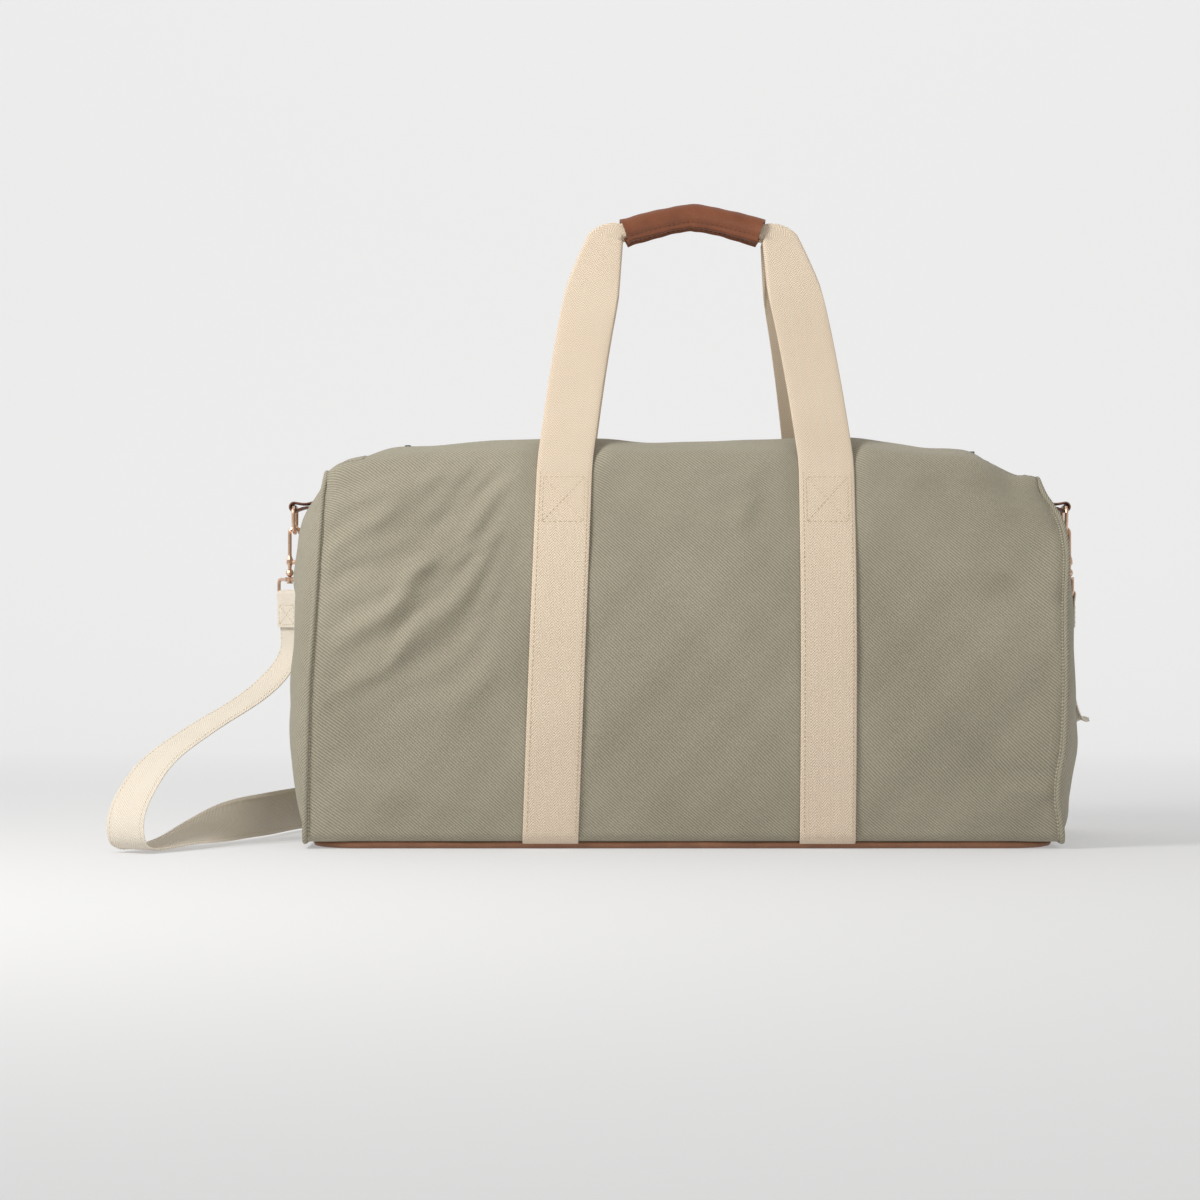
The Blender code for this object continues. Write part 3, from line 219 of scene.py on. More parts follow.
class Surface:
    """A new material, with short ways to add nodes to it and join them."""

    def __init__(self, name, roughness=0.5, specular=0.5, sheen=0.0):
        self.made = bpy.data.materials.new(name)
        self.made.use_nodes = True
        self.nodes, self.links = self.made.node_tree.nodes, self.made.node_tree.links
        self.shader = self.nodes["Principled BSDF"]
        self.set("Roughness", roughness)
        self.set("Specular IOR Level", specular)
        if sheen:
            self.set("Sheen Weight", sheen)
            self.set("Sheen Roughness", 0.5)

    def feed(self, socket, value):
        """Join an output to a socket, or give the socket a plain value."""
        if isinstance(value, bpy.types.NodeSocket):
            self.links.new(value, socket)
        else:
            socket.default_value = value

    def set(self, name, value):
        self.feed(self.shader.inputs[name], value)

    def node(self, kind, **inputs):
        made = self.nodes.new(kind)
        for name, value in inputs.items():
            self.feed(made.inputs[name.replace("_", " ")], value)
        return made

    def math(self, kind, *values):
        node = self.nodes.new("ShaderNodeMath")
        node.operation = kind
        for socket, value in zip(node.inputs, values):
            self.feed(socket, value)
        return node.outputs[0]

    def scaled(self, value, scale, plus):
        return self.math("MULTIPLY_ADD", value, scale, plus)

    def cloth_place(self):
        """A place on the cloth's UV map, in metres."""
        node = self.nodes.new("ShaderNodeUVMap")
        node.uv_map = "cloth"
        return node.outputs["UV"]

    def object_place(self):
        return self.nodes.new("ShaderNodeTexCoord").outputs["Object"]

    def wave(self, place, across, pitch):
        """A wave from 0 to 1 over a plane, with its crests square to across."""
        dot = self.nodes.new("ShaderNodeVectorMath")
        dot.operation = "DOT_PRODUCT"
        self.links.new(place, dot.inputs[0])
        dot.inputs[1].default_value = Vector((*across, 0)).normalized() * (2 * pi / pitch)
        return self.scaled(self.math("SINE", dot.outputs["Value"]), 0.5, 0.5)

    def noise(self, place, scale, detail=3.0, stretch=(1, 1, 1)):
        mapping = self.node("ShaderNodeMapping", Scale=stretch, Vector=place)
        return self.node("ShaderNodeTexNoise", Scale=scale, Detail=detail,
                         Vector=mapping.outputs["Vector"]).outputs["Fac"]

    def colour(self, share, dark, light):
        """The base colour, from dark where share is 0 to light where it is 1."""
        mix = self.nodes.new("ShaderNodeMix")
        mix.data_type = "RGBA"
        self.links.new(share, mix.inputs["Factor"])
        ends = [s for s in mix.inputs if s.type == "RGBA"]
        ends[0].default_value, ends[1].default_value = (*dark, 1), (*light, 1)
        self.set("Base Color", [s for s in mix.outputs if s.type == "RGBA"][0])

    def bump(self, height, distance, strength):
        node = self.node("ShaderNodeBump", Strength=strength, Distance=distance, Height=height)
        self.set("Normal", node.outputs["Normal"])


def twill_canvas(name, light, dark):
    """Cotton twill: diagonal ribs, cross threads, slubs and faint fading."""
    cloth = Surface(name, 0.88, 0.25, 0.18)
    place = cloth.cloth_place()
    cross = cloth.scaled(cloth.wave(place, (1.0, -0.35), CROSS_PITCH), 0.35, 0.65)
    weave = cloth.math("MULTIPLY", cloth.wave(place, (1.0, 1.12), RIB_PITCH), cross)
    height = cloth.scaled(cloth.noise(place, 900, 3, (1, 0.25, 1)), 0.55, weave)
    fade = cloth.scaled(cloth.noise(place, 9, 4), 0.35, -0.03)
    cloth.colour(cloth.scaled(height, 0.62, fade), dark, light)
    cloth.set("Sheen Tint", (0.9, 0.92, 0.85, 1))
    cloth.bump(height, 0.00034, 0.9)
    return cloth.made


def webbing_cloth(name, light, dark, chevron=0.0042):
    """Herringbone cotton webbing: slanted threads that turn back in narrow columns."""
    cloth = Surface(name, 0.85, 0.25, 0.15)
    place = cloth.cloth_place()
    split = cloth.node("ShaderNodeSeparateXYZ", Vector=place)
    column = cloth.math("PINGPONG", split.outputs[0], chevron)
    lift = cloth.scaled(column, 1.15, split.outputs[1])
    turns = cloth.math("MULTIPLY", lift, 2 * pi / THREAD_PITCH)
    threads = cloth.scaled(cloth.math("SINE", turns), 0.5, 0.5)
    height = cloth.scaled(cloth.wave(place, (1, 0), 0.0010), 0.35, threads)
    height = cloth.scaled(cloth.noise(place, 700), 0.4, height)
    fade = cloth.scaled(cloth.noise(place, 14), 0.25, -0.11)
    cloth.colour(cloth.scaled(height, 0.58, fade), dark, light)
    cloth.bump(height, 0.00030, 0.9)
    return cloth.made


def plain_cloth(name, light, dark, pitch):
    """A plain weave of threads both ways."""
    cloth = Surface(name, 0.9, 0.2)
    place = cloth.cloth_place()
    weave = cloth.math("MULTIPLY", cloth.wave(place, (1, 0), pitch), cloth.wave(place, (0, 1), pitch))
    slub = cloth.math("MULTIPLY", cloth.noise(place, 600), 0.4)
    height = cloth.scaled(weave, 0.6, slub)
    cloth.colour(height, dark, light)
    cloth.bump(height, 0.0002, 0.8)
    return cloth.made


def leather(name, light, dark, roughness):
    """Grained leather with paler worn patches."""
    hide = Surface(name)
    place = hide.object_place()
    grain = hide.node("ShaderNodeTexVoronoi", Scale=1100, Vector=place).outputs["Distance"]
    wear = hide.noise(place, 60, 5)
    hide.colour(hide.scaled(grain, 0.35, wear), dark, light)
    hide.set("Roughness", hide.scaled(wear, 0.25, roughness - 0.12))
    hide.bump(hide.scaled(hide.noise(place, 1500, 2), 0.5, grain), 0.00012, 0.7)
    return hide.made


def metal(name, colour, roughness):
    """Plated metal with fine brushing and small marks."""
    plate = Surface(name)
    place = plate.object_place()
    scratch = plate.noise(place, 700, 4, (1, 1, 0.2))
    plate.colour(plate.noise(place, 120), tuple(0.72 * c for c in colour), colour)
    plate.set("Metallic", 1.0)
    plate.set("Roughness", plate.scaled(scratch, 0.22, roughness - 0.08))
    plate.bump(scratch, 0.00003, 0.5)
    return plate.made


def thread(name, colour):
    """Twisted sewing thread."""
    cotton = Surface(name, 0.7)
    twist = cotton.wave(cotton.object_place(), (1, 1), 0.0006)
    cotton.colour(twist, tuple(0.7 * c for c in colour), colour)
    return cotton.made
make_camera()
make_light()
make_stage()
CANVAS = twill_canvas("sage_twill", (0.49, 0.450, 0.352), (0.148, 0.131, 0.089))
WEBBING = webbing_cloth("cream_webbing", (0.93, 0.81, 0.655), (0.58, 0.44, 0.31))
STRAP_CLOTH = webbing_cloth("strap_webbing", (0.93, 0.86, 0.75), (0.62, 0.54, 0.43), 0.008)
TAN = leather("tan_leather", (0.245, 0.074, 0.026), (0.098, 0.026, 0.009), 0.48)
DARK = leather("dark_leather", (0.17, 0.060, 0.030), (0.06, 0.020, 0.012), 0.5)
BRASS = metal("rose_brass", (0.90, 0.62, 0.46), 0.27)
GUNMETAL = metal("gunmetal", (0.16, 0.165, 0.175), 0.38)
SLATE = plain_cloth("slate_tape", (0.085, 0.095, 0.10), (0.03, 0.034, 0.037), 0.0012)
LINING_CLOTH = plain_cloth("lining_cloth", (0.60, 0.55, 0.46), (0.40, 0.36, 0.29), 0.0009)
CREAM_THREAD = thread("cream_thread", (0.80, 0.68, 0.50))
TAN_THREAD = thread("tan_thread", (0.20, 0.07, 0.03))


# ---------------------------------------------------------------- making pieces
def add_piece(name, mesh, surface):
    mesh.materials.append(surface)
    made = bpy.data.objects.new(name, mesh)
    bpy.context.scene.collection.objects.link(made)
    return made


def make_piece(name, verts, faces, surface, uvs):
    """A smooth piece from points and faces, with a cloth UV map in metres."""
    mesh = bpy.data.meshes.new(name)
    mesh.from_pydata([tuple(v) for v in verts], [], faces)
    layer = mesh.uv_layers.new(name="cloth")
    layer.data.foreach_set("uv", np.asarray(uvs, float)[[v for f in faces for v in f]].ravel())
    mesh.shade_smooth()
    return add_piece(name, mesh, surface)


def from_bmesh(name, bm, surface, sharp=None):
    bmesh.ops.recalc_face_normals(bm, faces=bm.faces)
    mesh = bpy.data.meshes.new(name)
    bm.to_mesh(mesh)
    bm.free()
    mesh.uv_layers.new(name="cloth")
    mesh.shade_smooth()
    if sharp:
        mesh.set_sharp_from_angle(angle=radians(sharp))
    return add_piece(name, mesh, surface)


def edit_mesh(obj, change):
    """Make a change to an object's mesh as a bmesh."""
    bm = bmesh.new()
    bm.from_mesh(obj.data)
    change(bm)
    bm.to_mesh(obj.data)
    bm.free()


def close_normals(bm):
    bmesh.ops.recalc_face_normals(bm, faces=bm.faces)


def drop_loose(bm):
    bmesh.ops.delete(bm, geom=[v for v in bm.verts if not v.link_faces], context="VERTS")


def directions(path):
    """The direction of a path at each of its points."""
    last = len(path) - 1
    return [(path[min(i + 1, last)] - path[max(i - 1, 0)]).normalized() for i in range(last + 1)]


def lengths(path):
    """How far along a path each of its points is."""
    run = [0.0]
    for a, b in zip(path, path[1:]):
        run.append(run[-1] + (b - a).length)
    return run


def loop_faces(rows, cols):
    """Faces between rows of closed loops, as indices."""
    return [(i * cols + k, i * cols + (k + 1) % cols,
             (i + 1) * cols + (k + 1) % cols, (i + 1) * cols + k)
            for i in range(rows - 1) for k in range(cols)]


def capped(faces, rows, cols):
    """The same faces with both ends closed."""
    return faces + [tuple(reversed(range(cols))), tuple((rows - 1) * cols + k for k in range(cols))]


def bridge(bm, loops, caps=True):
    """Faces between neighbouring loops of bmesh points."""
    for a, b in zip(loops, loops[1:]):
        for k in range(len(a)):
            m = (k + 1) % len(a)
            bm.faces.new((a[k], a[m], b[m], b[k]))
    if caps:
        bm.faces.new(loops[0])
        bm.faces.new(list(reversed(loops[-1])))


def grid_faces(rows, cols):
    return [(r * cols + c, r * cols + c + 1, (r + 1) * cols + c + 1, (r + 1) * cols + c)
            for r in range(rows - 1) for c in range(cols - 1)]


def thicken(obj, thickness):
    """Give a sheet its thickness, inward from its outer side."""
    solid = obj.modifiers.new("thickness", "SOLIDIFY")
    solid.thickness = thickness
    solid.offset = -1.0
    depsgraph = bpy.context.evaluated_depsgraph_get()
    mesh = bpy.data.meshes.new_from_object(obj.evaluated_get(depsgraph))
    old = obj.data
    obj.modifiers.clear()
    obj.data = mesh
    mesh.name = old.name
    bpy.data.meshes.remove(old)


def face_outward(obj, middle):
    """Turn a sheet's faces so that they look away from a point."""
    def turn(bm):
        away = sum(f.normal.dot(f.calc_center_median() - middle) * f.calc_area() for f in bm.faces)
        if away < 0:
            bmesh.ops.reverse_faces(bm, faces=bm.faces)

    edit_mesh(obj, turn)


def ring_tube(bm, path, radius, sides):
    """A round cord along a closed path."""
    loops = []
    for i, p in enumerate(path):
        way = (path[(i + 1) % len(path)] - path[i - 1]).normalized()
        side = way.cross(EAST).normalized()
        lift = side.cross(way)
        turns = [2 * pi * k / sides for k in range(sides)]
        loops.append([bm.verts.new(p + side * radius * cos(t) + lift * radius * sin(t))
                      for t in turns])
    bridge(bm, loops + loops[:1], caps=False)


def band(name, centres, acrosses, lifts, width, thick, surface, cols=12):
    """Webbing along a path: a flat woven band with rounded selvedges, in cloth UV metres."""
    selvedge, half = 0.0007, width / 2
    run = lengths(centres)
    steps = [-1 + 2 * k / cols for k in range(cols + 1)]
    loop = [(u, 1.0) for u in steps] + [(u, -1.0) for u in reversed(steps)]
    verts, uvs = [], []
    for centre, across, lift, s in zip(centres, acrosses, lifts, run):
        for u, side in loop:
            narrow = min(1.0, (1 - abs(u)) * half / selvedge)
            h = thick / 2 * (0.35 + 0.65 * sin(narrow * pi / 2)) * side
            verts.append(centre + across * (u * half) + lift * h)
            uvs.append((u * half, s))
    rows, cols = len(centres), len(loop)
    made = make_piece(name, verts, capped(loop_faces(rows, cols), rows, cols), surface, uvs)
    edit_mesh(made, close_normals)
    made.data.set_sharp_from_angle(angle=radians(50))
    return made


STITCH_SHARE = 0.68  # how much of its spacing a stitch fills
STITCH_BOW = ((-0.5, -0.9), (-0.34, 0.35), (0, 0.7), (0.34, 0.35), (0.5, -0.9))


def stitch_row(bm, path, lifts, pitch, radius):
    """Short thread stitches along a path, each bowed out of the cloth and down at its ends."""
    run = lengths(path)
    count = max(1, int(run[-1] / pitch))
    spacing = run[-1] / count

    def at(s):
        s = min(max(s, 0), run[-1] - 1e-9)
        i = min(max(0, np.searchsorted(run, s, side="right") - 1), len(path) - 2)
        t = (s - run[i]) / max(run[i + 1] - run[i], 1e-9)
        return path[i].lerp(path[i + 1], t), lifts[i].lerp(lifts[i + 1], t).normalized()

    for k in range(count):
        points = []
        for along, rise in STITCH_BOW:
            p, up = at((k + 0.5) * spacing + along * STITCH_SHARE * spacing)
            points.append(p + up * (rise * radius))
        way = (points[-1] - points[0]).normalized()
        side = way.cross(up).normalized()
        loops = []
        for j, p in enumerate(points):
            r = radius * (0.6 if j in (0, 4) else 1.0)
            loops.append([bm.verts.new(p + side * r * cos(a) + up * r * sin(a))
                          for a in (0, pi / 3, 2 * pi / 3, pi, 4 * pi / 3, 5 * pi / 3)])
        bridge(bm, loops)


def smooth_points(points, steps):
    """A Catmull-Rom curve through points, with steps pieces between each two."""
    made = []
    last = len(points) - 1
    for i in range(last):
        a, b = points[max(0, i - 1)], points[i]
        c, d = points[i + 1], points[min(last, i + 2)]
        for k in range(steps):
            t = k / steps
            made.append(0.5 * (2 * b + (c - a) * t + (2 * a - 5 * b + 4 * c - d) * t**2
                               + (3 * b - a - 3 * c + d) * t**3))
    made.append(points[-1])
    return made


# ---------------------------------------------------------------- soft body shape
FAN = Vector((-0.030, 0.350))  # the folds on the left front fan out from here
MIRROR_X = 0.016  # a mirrored fold's x is this less its own


def waves_at(x, z):
    """A slow wandering of the cloth, the same on every run, from two crossed waves."""
    return (np.sin(31 * x + 17 * z + 1.3) + np.sin(23 * x - 29 * z + 0.4)
            + 0.6 * np.sin(57 * x + 41 * z + 2.1) + 0.5 * np.sin(71 * x - 63 * z)) / 3.1


def ridge(x, z, ends, wide, high):
    """A soft crease along a line of points: a low ridge of a given width and height."""
    nearest = np.full_like(x, 9.0)
    along = np.zeros_like(x)
    spans = [(a, b, hypot(b[0] - a[0], b[1] - a[1])) for a, b in zip(ends, ends[1:])]
    whole = sum(span for _, _, span in spans)
    length = 0.0
    for a, b, span in spans:
        dx, dz = b[0] - a[0], b[1] - a[1]
        t = np.clip(((x - a[0]) * dx + (z - a[1]) * dz) / span**2, 0, 1)
        d = np.hypot(x - a[0] - t * dx, z - a[1] - t * dz)
        closer = d < nearest
        nearest = np.where(closer, d, nearest)
        along = np.where(closer, (length + t * span) / whole, along)
        length += span
    fade = np.sin(np.clip(along, 0, 1) * pi) ** 0.6
    return high * fade * np.exp(-(nearest / wide) ** 2)


FOLDS = (  # over a long side: points (x, z), width, height
    (((-0.111, 0.284), (-0.156, 0.237), (-0.19, 0.191), (-0.224, 0.151)), 0.0075, 0.0034),
    (((-0.198, 0.259), (-0.218, 0.237), (-0.244, 0.218), (-0.26, 0.208)), 0.007, 0.003),
    (((-0.175, 0.207), (-0.204, 0.179), (-0.239, 0.152), (-0.26, 0.142)), 0.0072, 0.003),
    (((-0.132, 0.217), (-0.175, 0.172), (-0.217, 0.131), (-0.259, 0.106)), 0.0075, 0.0032),
    (((-0.123, 0.237), (-0.168, 0.207), (-0.21, 0.187), (-0.254, 0.171)), 0.0058, 0.0018),
    (((-0.119, 0.151), (-0.164, 0.108), (-0.208, 0.077)), 0.011, 0.0014),
    (((-0.154, 0.284), (-0.182, 0.266), (-0.226, 0.251), (-0.258, 0.241)), 0.0075, 0.0022),
    (((-0.119, 0.279), (-0.181, 0.234), (-0.221, 0.217)), 0.0055, -0.0024),
    (((-0.153, 0.249), (-0.172, 0.22), (-0.22, 0.172)), 0.0055, -0.0026),
    (((-0.145, 0.215), (-0.19, 0.168), (-0.228, 0.126)), 0.0055, -0.0026),
    (((-0.126, 0.187), (-0.173, 0.145), (-0.204, 0.119)), 0.006, -0.002),
    (((-0.263, 0.225), (-0.238, 0.228), (-0.224, 0.233)), 0.0085, -0.0032),
    (((-0.26, 0.187), (-0.24, 0.194), (-0.218, 0.204)), 0.006, -0.0022),
    (((0.057, 0.257), (0.044, 0.246), (0.028, 0.231)), 0.007, 0.0024),
    (((0.066, 0.273), (0.041, 0.262), (0.012, 0.256)), 0.006, 0.0014),
    (((0.274, 0.179), (0.235, 0.195), (0.196, 0.208)), 0.007, 0.0024),
    (((0.274, 0.164), (0.235, 0.177), (0.199, 0.185)), 0.007, -0.002),
    (((0.273, 0.237), (0.242, 0.243), (0.199, 0.262)), 0.009, 0.0026),
    (((0.27, 0.041), (0.25, 0.037), (0.221, 0.038)), 0.005, 0.0016),
    (((0.271, 0.053), (0.246, 0.05), (0.217, 0.056)), 0.005, -0.0012),
    (((0.16, 0.273), (0.199, 0.267), (0.235, 0.27)), 0.007, 0.0014),
    (((-0.053, 0.273), (-0.024, 0.266), (0.012, 0.27)), 0.008, 0.0012),
    (((-0.254, 0.05), (-0.204, 0.036), (-0.154, 0.031)), 0.012, 0.0012),
    (((0.156, 0.036), (0.199, 0.027), (0.257, 0.027)), 0.01, 0.001),
)


def fold_relief(x, z, mirrored):
    """How far the cloth stands out of its smooth shape at points of a long side."""
    wander_x = x + 0.004 * np.sin(47 * z + 9 * x) + 0.002 * np.sin(131 * z)
    wander_z = z + 0.004 * np.sin(41 * x + 5 * z) + 0.002 * np.sin(117 * x + 2)
    relief = np.zeros_like(x)
    for points, wide, high in FOLDS:
        line = [(MIRROR_X - px, pz) for px, pz in points] if mirrored else points
        relief += ridge(wander_x, wander_z, line, wide, (1.15 if high > 0 else 0.8) * high)
    turn = np.arctan2(z - FAN.y, x - FAN.x) + 0.05 * np.sin(33 * x + 21 * z)
    reach = ramp(x, -0.262, -0.235) * ramp(-x, 0.105, 0.150) * ramp(z, 0.085, 0.135)
    relief += 0.0006 * np.sin(66 * turn + 0.6 + 1.4 * waves_at(0.8 * x, 0.9 * z)) * reach
    if mirrored:
        relief *= 0.85
    calm = 0.0022 * waves_at(x, z) * ramp(z, 0.01, 0.06)
    calm += 0.0013 * waves_at(2.3 * x + 0.4, 2.1 * z + 0.2)
    return relief + calm


def cloth_bump(x, z, mirrored):
    """Fold relief, calm under the sewn straps and at the edges of the panel."""
    relief = fold_relief(x, z, mirrored)
    for side in (-1, 1):
        away = np.abs(x - strap_x(side, z))
        relief = relief * (0.12 + 0.88 * ramp(away, 0.018, 0.034))
    return relief * ramp(z, 0.0, 0.014)


def top_puff(x):
    """How far the visible top line stands above the shoulder fold."""
    return smooth_steps(x, TOP_LINE) - FOLD_HEIGHT


ZIP_LINE = (  # height of the zip along the bag
    (-0.264, 0.2735), (-0.252, 0.2812), (-0.241, 0.2855), (-0.228, 0.2886), (-0.217, 0.2903),
    (-0.200, 0.2905), (0.000, 0.2905), (0.200, 0.2905), (0.215, 0.2899), (0.223, 0.2872),
    (0.232, 0.2834), (0.249, 0.2750), (0.262, 0.2705), (0.272, 0.2650),
)
SHOULDER_SHARE = 0.62  # how much of the top's swell is already at the shoulder


def strap_calm(x, near, far):
    """0 at the sewn straps, 1 away from them."""
    calm = np.ones_like(x)
    for side in (-1, 1):
        calm = calm * ramp(np.abs(x - strap_x(side, SHOULDER_HEIGHT)), near, far)
    return calm


def top_surface(x, y):
    """Height of the bag's soft top at (x, y)."""
    x, y = np.broadcast_arrays(np.asarray(x, float), np.asarray(y, float))
    t = np.clip(1 - (np.abs(y) - SLOT) / (FOLD_HALF_DEPTH - SLOT), 0, 1)
    puff = top_puff(x)
    up, down = np.maximum(puff, 0), np.minimum(puff, 0)
    share = SHOULDER_SHARE * (0.2 + 0.8 * strap_calm(x, 0.016, 0.034))
    bump = share + (1 - share) * np.sin(np.clip(t / 0.42, 0, 1) * pi / 2)
    bump = bump * (1 - ramp(t, 0.45, 1.0))
    zip_rise = smooth_steps(x, ZIP_LINE) - FOLD_HEIGHT
    base = zip_rise * (1 - (1 - t) ** 2)
    lump = 0.0009 * waves_at(1.7 * x, 2.6 * y + 0.8 * x) * np.sin(pi * np.clip(t, 0, 1)) ** 0.7
    lump = lump + 0.0012 * np.sin(88 * x + 30 * y) * ramp(np.abs(x), 0.15, 0.21) * np.sin(pi * t)
    return FOLD_HEIGHT + up * bump + down * (1 - t) ** 0.5 + base + lump


def side_lift(x, z):
    """How much of the top's swell or droop the upper side shares at (x, z)."""
    puff = top_puff(x)
    up, down = np.maximum(puff, 0), np.minimum(puff, 0)
    share = SHOULDER_SHARE * (0.2 + 0.8 * strap_calm(x, 0.016, 0.034))
    return (up * share + down) * ramp(z, 0.225, SHOULDER_HEIGHT + 0.004)


FOOT_ARC = np.linspace(0, pi / 2, 7)
SHOULDER_Y = 0.0880  # the top's own surface starts here


def foot_turn():
    """Points (y, z) where a side turns under the bag, from the underside up."""
    r = CORNER_RADIUS
    foot_y = float(half_depth(CANVAS_START + r))
    return [(foot_y - r + r * sin(t), CANVAS_START + r - r * cos(t)) for t in FOOT_ARC]


def side_rise(steps):
    """Points (y, z) up a side from the foot's turn."""
    return [(float(half_depth(z)), z)
            for z in np.linspace(CANVAS_START + CORNER_RADIUS, SIDE_TOP, steps)[1:]]


def face_profile():
    """Points (y, z, on_top) from under the foot to the zip: the side, then the top."""
    turn = foot_turn()
    side = [(turn[0][0] - k, CANVAS_START) for k in (0.010, 0.007, 0.004, 0.002)]
    side += turn + side_rise(104)
    points = [(y, z, 0) for y, z in side]
    a, b, c = side[-1], (SHOULDER_Y, FOLD_HEIGHT + 0.0009), (0.0975, FOLD_HEIGHT + 0.0007)
    for t in np.linspace(0, 1, 9)[1:]:
        y, z = ((1 - t) ** 2 * a[k] + 2 * t * (1 - t) * c[k] + t * t * b[k] for k in (0, 1))
        points.append((y, z, 0 if t < 0.75 else 1))
    return points + [(y, 0.0, 1) for y in np.linspace(SHOULDER_Y, SLOT, 30)[1:]]


def canvas_grid(face):
    """The long side and half of the top, as one grid of points."""
    ys, zs, on_top = (np.array(row) for row in zip(*face_profile()))
    left, right = seam_top_x(-1), seam_top_x(1)
    tops = np.concatenate([np.linspace(left, -MOUTH_HALF, 9)[:-1],
                           np.linspace(-MOUTH_HALF, MOUTH_HALF, 180)[:-1],
                           np.linspace(MOUTH_HALF, right, 10)])
    u = (tops - left) / (right - left)
    out_share = np.abs(np.gradient(zs)) / np.hypot(np.gradient(zs), np.gradient(ys))
    rows = []
    for y, z, top, share in zip(ys, zs, on_top, out_share):
        z_seam = SEAM_TOP if top else min(z, SEAM_TOP)
        x = float(seam_x(-1, z_seam)) * (1 - u) + float(seam_x(1, z_seam)) * u
        y_row = np.full_like(x, y)
        if top:
            rows.append(np.stack([x, face * y_row, top_surface(x, y_row)], 1))
            continue
        edge = np.minimum(x - x[0], x[-1] - x)
        out = cloth_bump(x, np.full_like(x, z), face > 0)
        out = out * ramp(edge, 0.0, 0.010) - 0.0016 * (1 - ramp(edge, 0.0, 0.007))
        out = out * (1 - ramp(z, 0.262, 0.283)) * share
        rows.append(np.stack([x, face * (y_row + out), z + side_lift(x, z)], 1))
    grid = np.array(rows)
    turn = [i for i in range(len(ys) - 1) if zs[i] >= (0 if on_top[i] else SIDE_TOP)
            and (zs[i] > 0 or abs(ys[i] - 0.093) < 0.006)]
    for _ in range(5):  # ease the turn between the side and the top
        eased = grid.copy()
        for i in turn:
            eased[i] = 0.25 * grid[i - 1] + 0.5 * grid[i] + 0.25 * grid[i + 1]
        grid = eased
    return grid, on_top


def grid_uv(grid):
    """Cloth lengths across and up a grid of points."""
    across = np.zeros(grid.shape[:2])
    middle = grid.shape[1] // 2
    step = np.linalg.norm(np.diff(grid, axis=1), axis=2)
    across[:, 1:] = np.cumsum(step, axis=1)
    across -= across[:, middle:middle + 1]
    up = np.zeros(grid.shape[:2])
    mid_rise = np.linalg.norm(np.diff(grid[:, middle], axis=0), axis=1)
    up[1:] = np.cumsum(mid_rise)[:, None]
    flat = np.linspace(across[:, 0].mean(), across[:, -1].mean(), grid.shape[1])
    return np.stack([np.broadcast_to(flat, up.shape), up], 2)


def canvas_side(label, face):
    grid, on_top = canvas_grid(face)
    rows, cols = grid.shape[:2]
    middles = np.abs(grid[-1, 1:, 0] + grid[-1, :-1, 0]) / 2
    faces = [quad for k, quad in enumerate(grid_faces(rows, cols))
             if not on_top[k // (cols - 1)] or middles[k % (cols - 1)] <= MOUTH_HALF]
    made = make_piece(f"{label}_canvas", grid.reshape(-1, 3), faces, CANVAS,
                      grid_uv(grid).reshape(-1, 2))
    edit_mesh(made, drop_loose)
    face_outward(made, Vector((0, 0, 0.14)))
    thicken(made, CANVAS_THICK)
    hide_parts(f"{label}_panel", f"{label}_top_panel")
    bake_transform(made)


def canvas_gusset(label, end):
    """The canvas between a mouth's end and the bag's end seam."""
    rows = []
    for y in np.linspace(-0.0900, 0.0900, 61):
        x = np.linspace(end * (MOUTH_HALF + 0.0004), seam_top_x(end), 9)
        rows.append(np.stack([x, np.full_like(x, y), top_surface(x, y) - 0.0001], 1))
    grid = np.array(rows)
    made = make_piece(f"{label}_gusset_canvas", grid.reshape(-1, 3), grid_faces(61, 9), CANVAS,
                      grid[:, :, :2].reshape(-1, 2))
    face_outward(made, Vector((0, 0, 0.1)))
    thicken(made, CANVAS_THICK)
    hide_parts(f"{label}_top_gusset")
    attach(made, "bag")


def end_rim(end):
    """The end seam's line round the bag's end: up the front, over the top, down the rear."""
    turn = foot_turn()
    points = [(y, CANVAS_START) for y in np.linspace(0, turn[0][0], 12)[:-1]]
    points += turn + side_rise(72) + [(0.0968, 0.2792), (0.0945, 0.2822)]
    half = []
    for y, z in points:
        x = float(seam_x(end, min(z, SEAM_TOP)))
        half.append(Vector((x, -y, z + float(side_lift(np.array(x), np.array(z))))))
    for y in np.linspace(0.090, 0.0, 26):
        x = seam_top_x(end)
        half.append(Vector((x, -y, float(top_surface(x, y)))))
    for _ in range(4):  # ease the turn over the shoulder
        half = [p if not 0.060 < -p.y < 0.104 or p.z < 0.2 or i in (0, len(half) - 1)
                else 0.25 * half[i - 1] + 0.5 * p + 0.25 * half[i + 1]
                for i, p in enumerate(half)]
    return half + [Vector((p.x, -p.y, p.z)) for p in reversed(half[1:-1])]


BULGE = {-1: ((0.284, 0.0), (0.262, 0.0095), (0.235, 0.0160), (0.209, 0.0195), (0.165, 0.0210),
              (0.120, 0.0200), (0.061, 0.0145), (0.020, 0.0080), (0.0, 0.0060)),
         1: ((0.284, 0.0), (0.262, 0.0015), (0.235, 0.0030), (0.209, 0.0055), (0.165, 0.0110),
             (0.124, 0.0145), (0.095, 0.0165), (0.055, 0.0170), (0.020, 0.0130), (0.0, 0.0100))}
RELIEF = {-1: 0.8, 1: 0.6}  # how strongly each end is creased
REST_DEPTH = 0.0048
END_MIDDLE = 0.145  # the height of an end panel's middle
RINGS = 33


